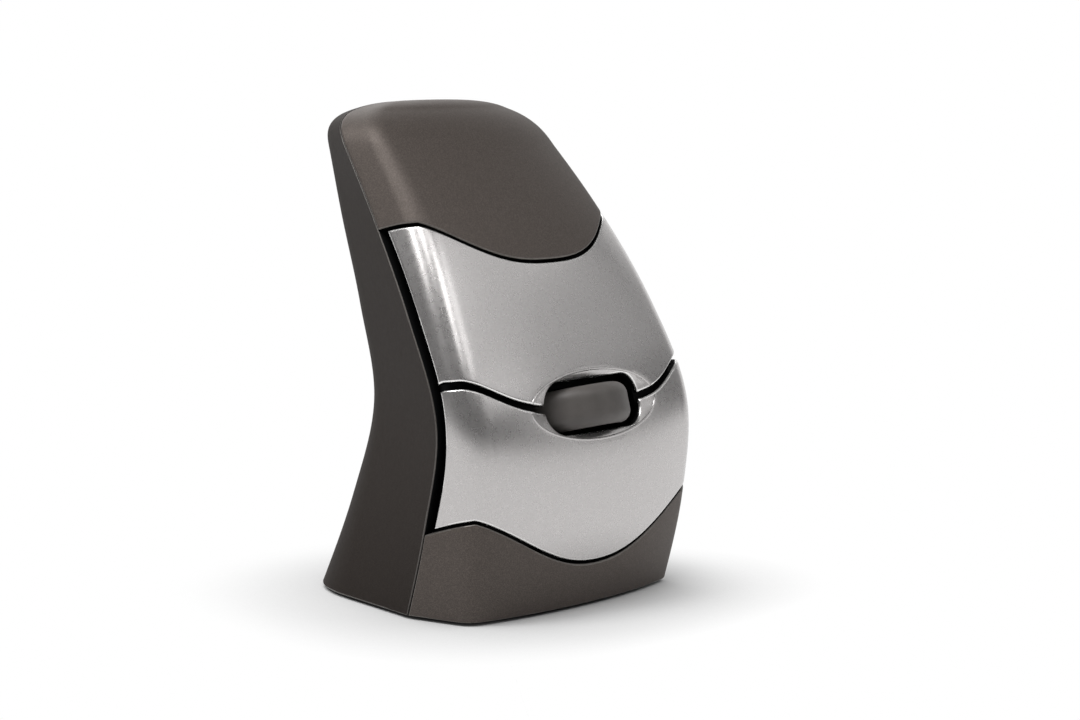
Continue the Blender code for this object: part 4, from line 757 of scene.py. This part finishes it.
def make_materials():
    made = {}
    for name, values in FLAKE_PAINTS.items():
        tilt = SILVER_TILT if name == "silver_metallic_paint" else FLAKE_TILT
        made[name] = flake_paint(name, *values, tilt)
    for name, (colour, roughness) in PLASTICS.items():
        made[name] = moulded(name, colour, roughness)
    made["wheel_rubber"] = moulded("wheel_rubber", (0.085, 0.077, 0.072), 0.5, RUBBER_GRAIN, FINE_DEPTH)
    made["cell_jacket"] = metal("cell_jacket", (0.3, 0.32, 0.36), 0.35)
    made["bright_steel"] = metal("bright_steel", (0.6, 0.59, 0.58), 0.3)
    for name, socket, level in SHADER_LEVELS:
        made[name].node_tree.nodes["Principled BSDF"].inputs[socket].default_value = level
    return made


HUB_PAINTED_SHADE = {"wheel_hub": "black_plastic"}       # seen through the slot beside the tyre; black there as painted shade


def paint_frame():
    """Every carried-over CAD node gets its slot's material, but the wheel hub gets black plastic as painted
    shade in the slot.
    """
    slots = {entry["node"]: entry["material_slot"] for entry in frame["record"]["subparts"]}
    for name, node in frame["nodes"].items():
        node.data.materials.clear()
        node.data.materials.append(MATERIALS[HUB_PAINTED_SHADE.get(name, slots[name])])


# ---------------------------------------------------------------- studio

# The camera is a fit to the photograph's outline, and most of the lamps are a fit to its tones, rounded and
# then adjusted.
CAMERA_PLACE = Vector((-0.37959, -0.33224, 0.10024))
CAMERA_TARGET = Vector((0.00597, -0.00871, 0.04368))
CAMERA_LENS = 90.0          # millimetres, on a sensor SENSOR_WIDTH wide
SENSOR_WIDTH = 36.0
CAMERA_NEAR = 0.01
FLOOR_HALF = 3.0
FLOOR_GRAIN = 900.0
FLOOR_NEAR = 0.02           # the floor keeps its shadow inside this distance from the mouse's middle
FLOOR_FAR = 0.055           # and is plain white beyond this one
CONTACT_REACH = 0.03        # reach of the painted shade where the mouse stands on the floor
CONTACT_SHADE = 0.6         # share of the floor's colour that is left where the mouse touches it, a painted shade
BACKGROUND_WAY = (0.77, 0.64, 0.0)  # from the mouse to the middle of the photograph's background
BACKGROUND_EDGE = (0.6, 0.8)        # cosines from the background's middle between which it fades
ROOM_SHADE = 0.13           # grey of the room all round
LAMP_AIM = Vector((0.0, 0.0, 0.045))
# Name, azimuth and elevation in degrees, width and height in metres, watts
SOFTBOXES = (
    ("overhead", 182.0, 69.0, 0.62, 0.42, 5.8),
    ("left_back", 160.0, 48.0, 0.32, 0.28, 3.9),
    ("ridge", 253.0, 51.0, 0.25, 0.30, 0.90),
    ("front", 285.0, 45.0, 0.30, 0.40, 0.48),
    ("right_wide", 304.0, 44.0, 1.07, 0.41, 0.88),
    ("right_middle", 302.0, 24.0, 0.36, 0.25, 0.28),
    ("right_high", 332.0, 25.0, 0.50, 0.30, 0.17),
    ("right_low", 318.0, 8.0, 0.40, 0.20, 0.17),
    ("back_fill", 70.0, 38.0, 0.80, 0.60, 2.4),
)


def make_camera():
    camera = bpy.data.cameras.new("camera")
    camera.lens = CAMERA_LENS
    camera.sensor_width = SENSOR_WIDTH
    camera.clip_start = CAMERA_NEAR
    made = bpy.data.objects.new("camera", camera)
    made.location = CAMERA_PLACE
    made.rotation_euler = (CAMERA_TARGET - CAMERA_PLACE).to_track_quat('-Z', 'Y').to_euler()
    bpy.context.collection.objects.link(made)
    bpy.context.scene.camera = made


def make_softbox(name, azimuth, elevation, width, height, power):
    """Flat lamp one metre from the mouse that faces it."""
    lamp = bpy.data.lights.new(name, 'AREA')
    lamp.shape = 'RECTANGLE'
    lamp.size = width
    lamp.size_y = height
    lamp.energy = power
    made = bpy.data.objects.new(name, lamp)
    level = cos(radians(elevation))
    way = Vector((level * cos(radians(azimuth)), level * sin(radians(azimuth)), sin(radians(elevation))))
    made.location = LAMP_AIM + way
    made.rotation_euler = (-way).to_track_quat('-Z', 'Y').to_euler()
    bpy.context.collection.objects.link(made)


def make_floor():
    """White sweep: it shows white to the camera and keeps the object's soft shadow, with a painted contact
    shade from ambient occlusion that darkens its colour and its glow near the mouse.
    """
    shape = bmesh.new()
    bmesh.ops.create_grid(shape, x_segments=1, y_segments=1, size=FLOOR_HALF)
    mesh = bpy.data.meshes.new("floor")
    shape.to_mesh(mesh)
    shape.free()
    floor = bpy.data.objects.new("floor", mesh)
    bpy.context.collection.objects.link(floor)
    made = new_material("floor_paper")
    made.set(Roughness=0.9, Specular_IOR_Level=0.1)
    paper = made.ramp(made.noise(FLOOR_GRAIN, 3.0), (0.83, 0.83, 0.83), (0.87, 0.87, 0.87))
    # ambient occlusion darkens the floor's colour near the mouse: painted contact shade on top of the lamps'
    # real shadow
    painted_contact_shade = made.add("ShaderNodeAmbientOcclusion", samples=12, Distance=CONTACT_REACH)
    shaded = made.add("ShaderNodeVectorMath", operation='MULTIPLY')
    made.link(paper, shaded.inputs[0])
    made.link(made.span(painted_contact_shade.outputs["AO"], CONTACT_SHADE, 1.0), shaded.inputs[1])
    made.link(shaded.outputs["Vector"], made.shader.inputs["Base Color"])
    distance = made.add("ShaderNodeVectorMath", operation='LENGTH')
    made.link(made.place(), distance.inputs[0])
    fade = made.fade(distance.outputs["Value"], FLOOR_NEAR, FLOOR_FAR)
    # the glow the camera sees is white darkened by the same ambient occlusion: a painted contact shadow
    glow = made.add("ShaderNodeEmission", Strength=1.0)
    made.link(painted_contact_shade.outputs["Color"], glow.inputs["Color"])
    path = made.add("ShaderNodeLightPath")
    seen = made.math('MAXIMUM', path.outputs["Is Camera Ray"], made.mirrored_rays(path))
    mixed = made.add("ShaderNodeMixShader")
    made.link(made.math('MULTIPLY', fade, seen), mixed.inputs["Fac"])
    made.link(made.shader.outputs["BSDF"], mixed.inputs[1])
    made.link(glow.outputs["Emission"], mixed.inputs[2])
    made.link(mixed.outputs["Shader"], made.tree.nodes["Material Output"].inputs["Surface"])
    mesh.materials.append(made.owner)


def make_world():
    """Dim room in front of a white background. The camera sees white all round, metal and glass see it only
    on the side where the photograph's background stands."""
    world = bpy.data.worlds.new("studio")
    bpy.context.scene.world = world
    made = Nodes(world)
    path = made.add("ShaderNodeLightPath")
    facing = made.add("ShaderNodeVectorMath", operation='DOT_PRODUCT')
    facing.inputs[1].default_value = BACKGROUND_WAY
    made.link(made.add("ShaderNodeTexCoord").outputs["Generated"], facing.inputs[0])
    behind = made.fade(facing.outputs["Value"], *BACKGROUND_EDGE)
    shown = made.math('MULTIPLY', made.mirrored_rays(path), behind)
    white = made.math('MAXIMUM', path.outputs["Is Camera Ray"], shown)
    mix = made.add("ShaderNodeMix", data_type='RGBA')
    mix.inputs["A"].default_value = (ROOM_SHADE, ROOM_SHADE, ROOM_SHADE, 1.0)
    mix.inputs["B"].default_value = (1.0, 1.0, 1.0, 1.0)
    made.link(white, mix.inputs["Factor"])
    made.link(mix.outputs["Result"], made.tree.nodes["Background"].inputs["Color"])


def make_studio():
    make_camera()
    make_floor()
    make_world()
    for softbox in SOFTBOXES:
        make_softbox(*softbox)
    bpy.context.scene.view_settings.view_transform = 'Standard'


# ---------------------------------------------------------------- build

MATERIALS = make_materials()
paint_frame()
make_rear_shell()
make_upper_cover()
make_lower_cover()
make_button("upper_key_shell", 1, lambda u: wave(u, CAP_WAVE) - CAP_GAP / 2, "upper_key", "upper_button")
make_button("lower_key_shell", -1, lambda u: wave(u, SKIRT_WAVE) + SKIRT_GAP / 2, "lower_key", "lower_button")
make_lip("upper_scoop_lip", 1, "upper_key")
make_lip("lower_scoop_lip", -1, "lower_key")
make_tyre()
make_studio()
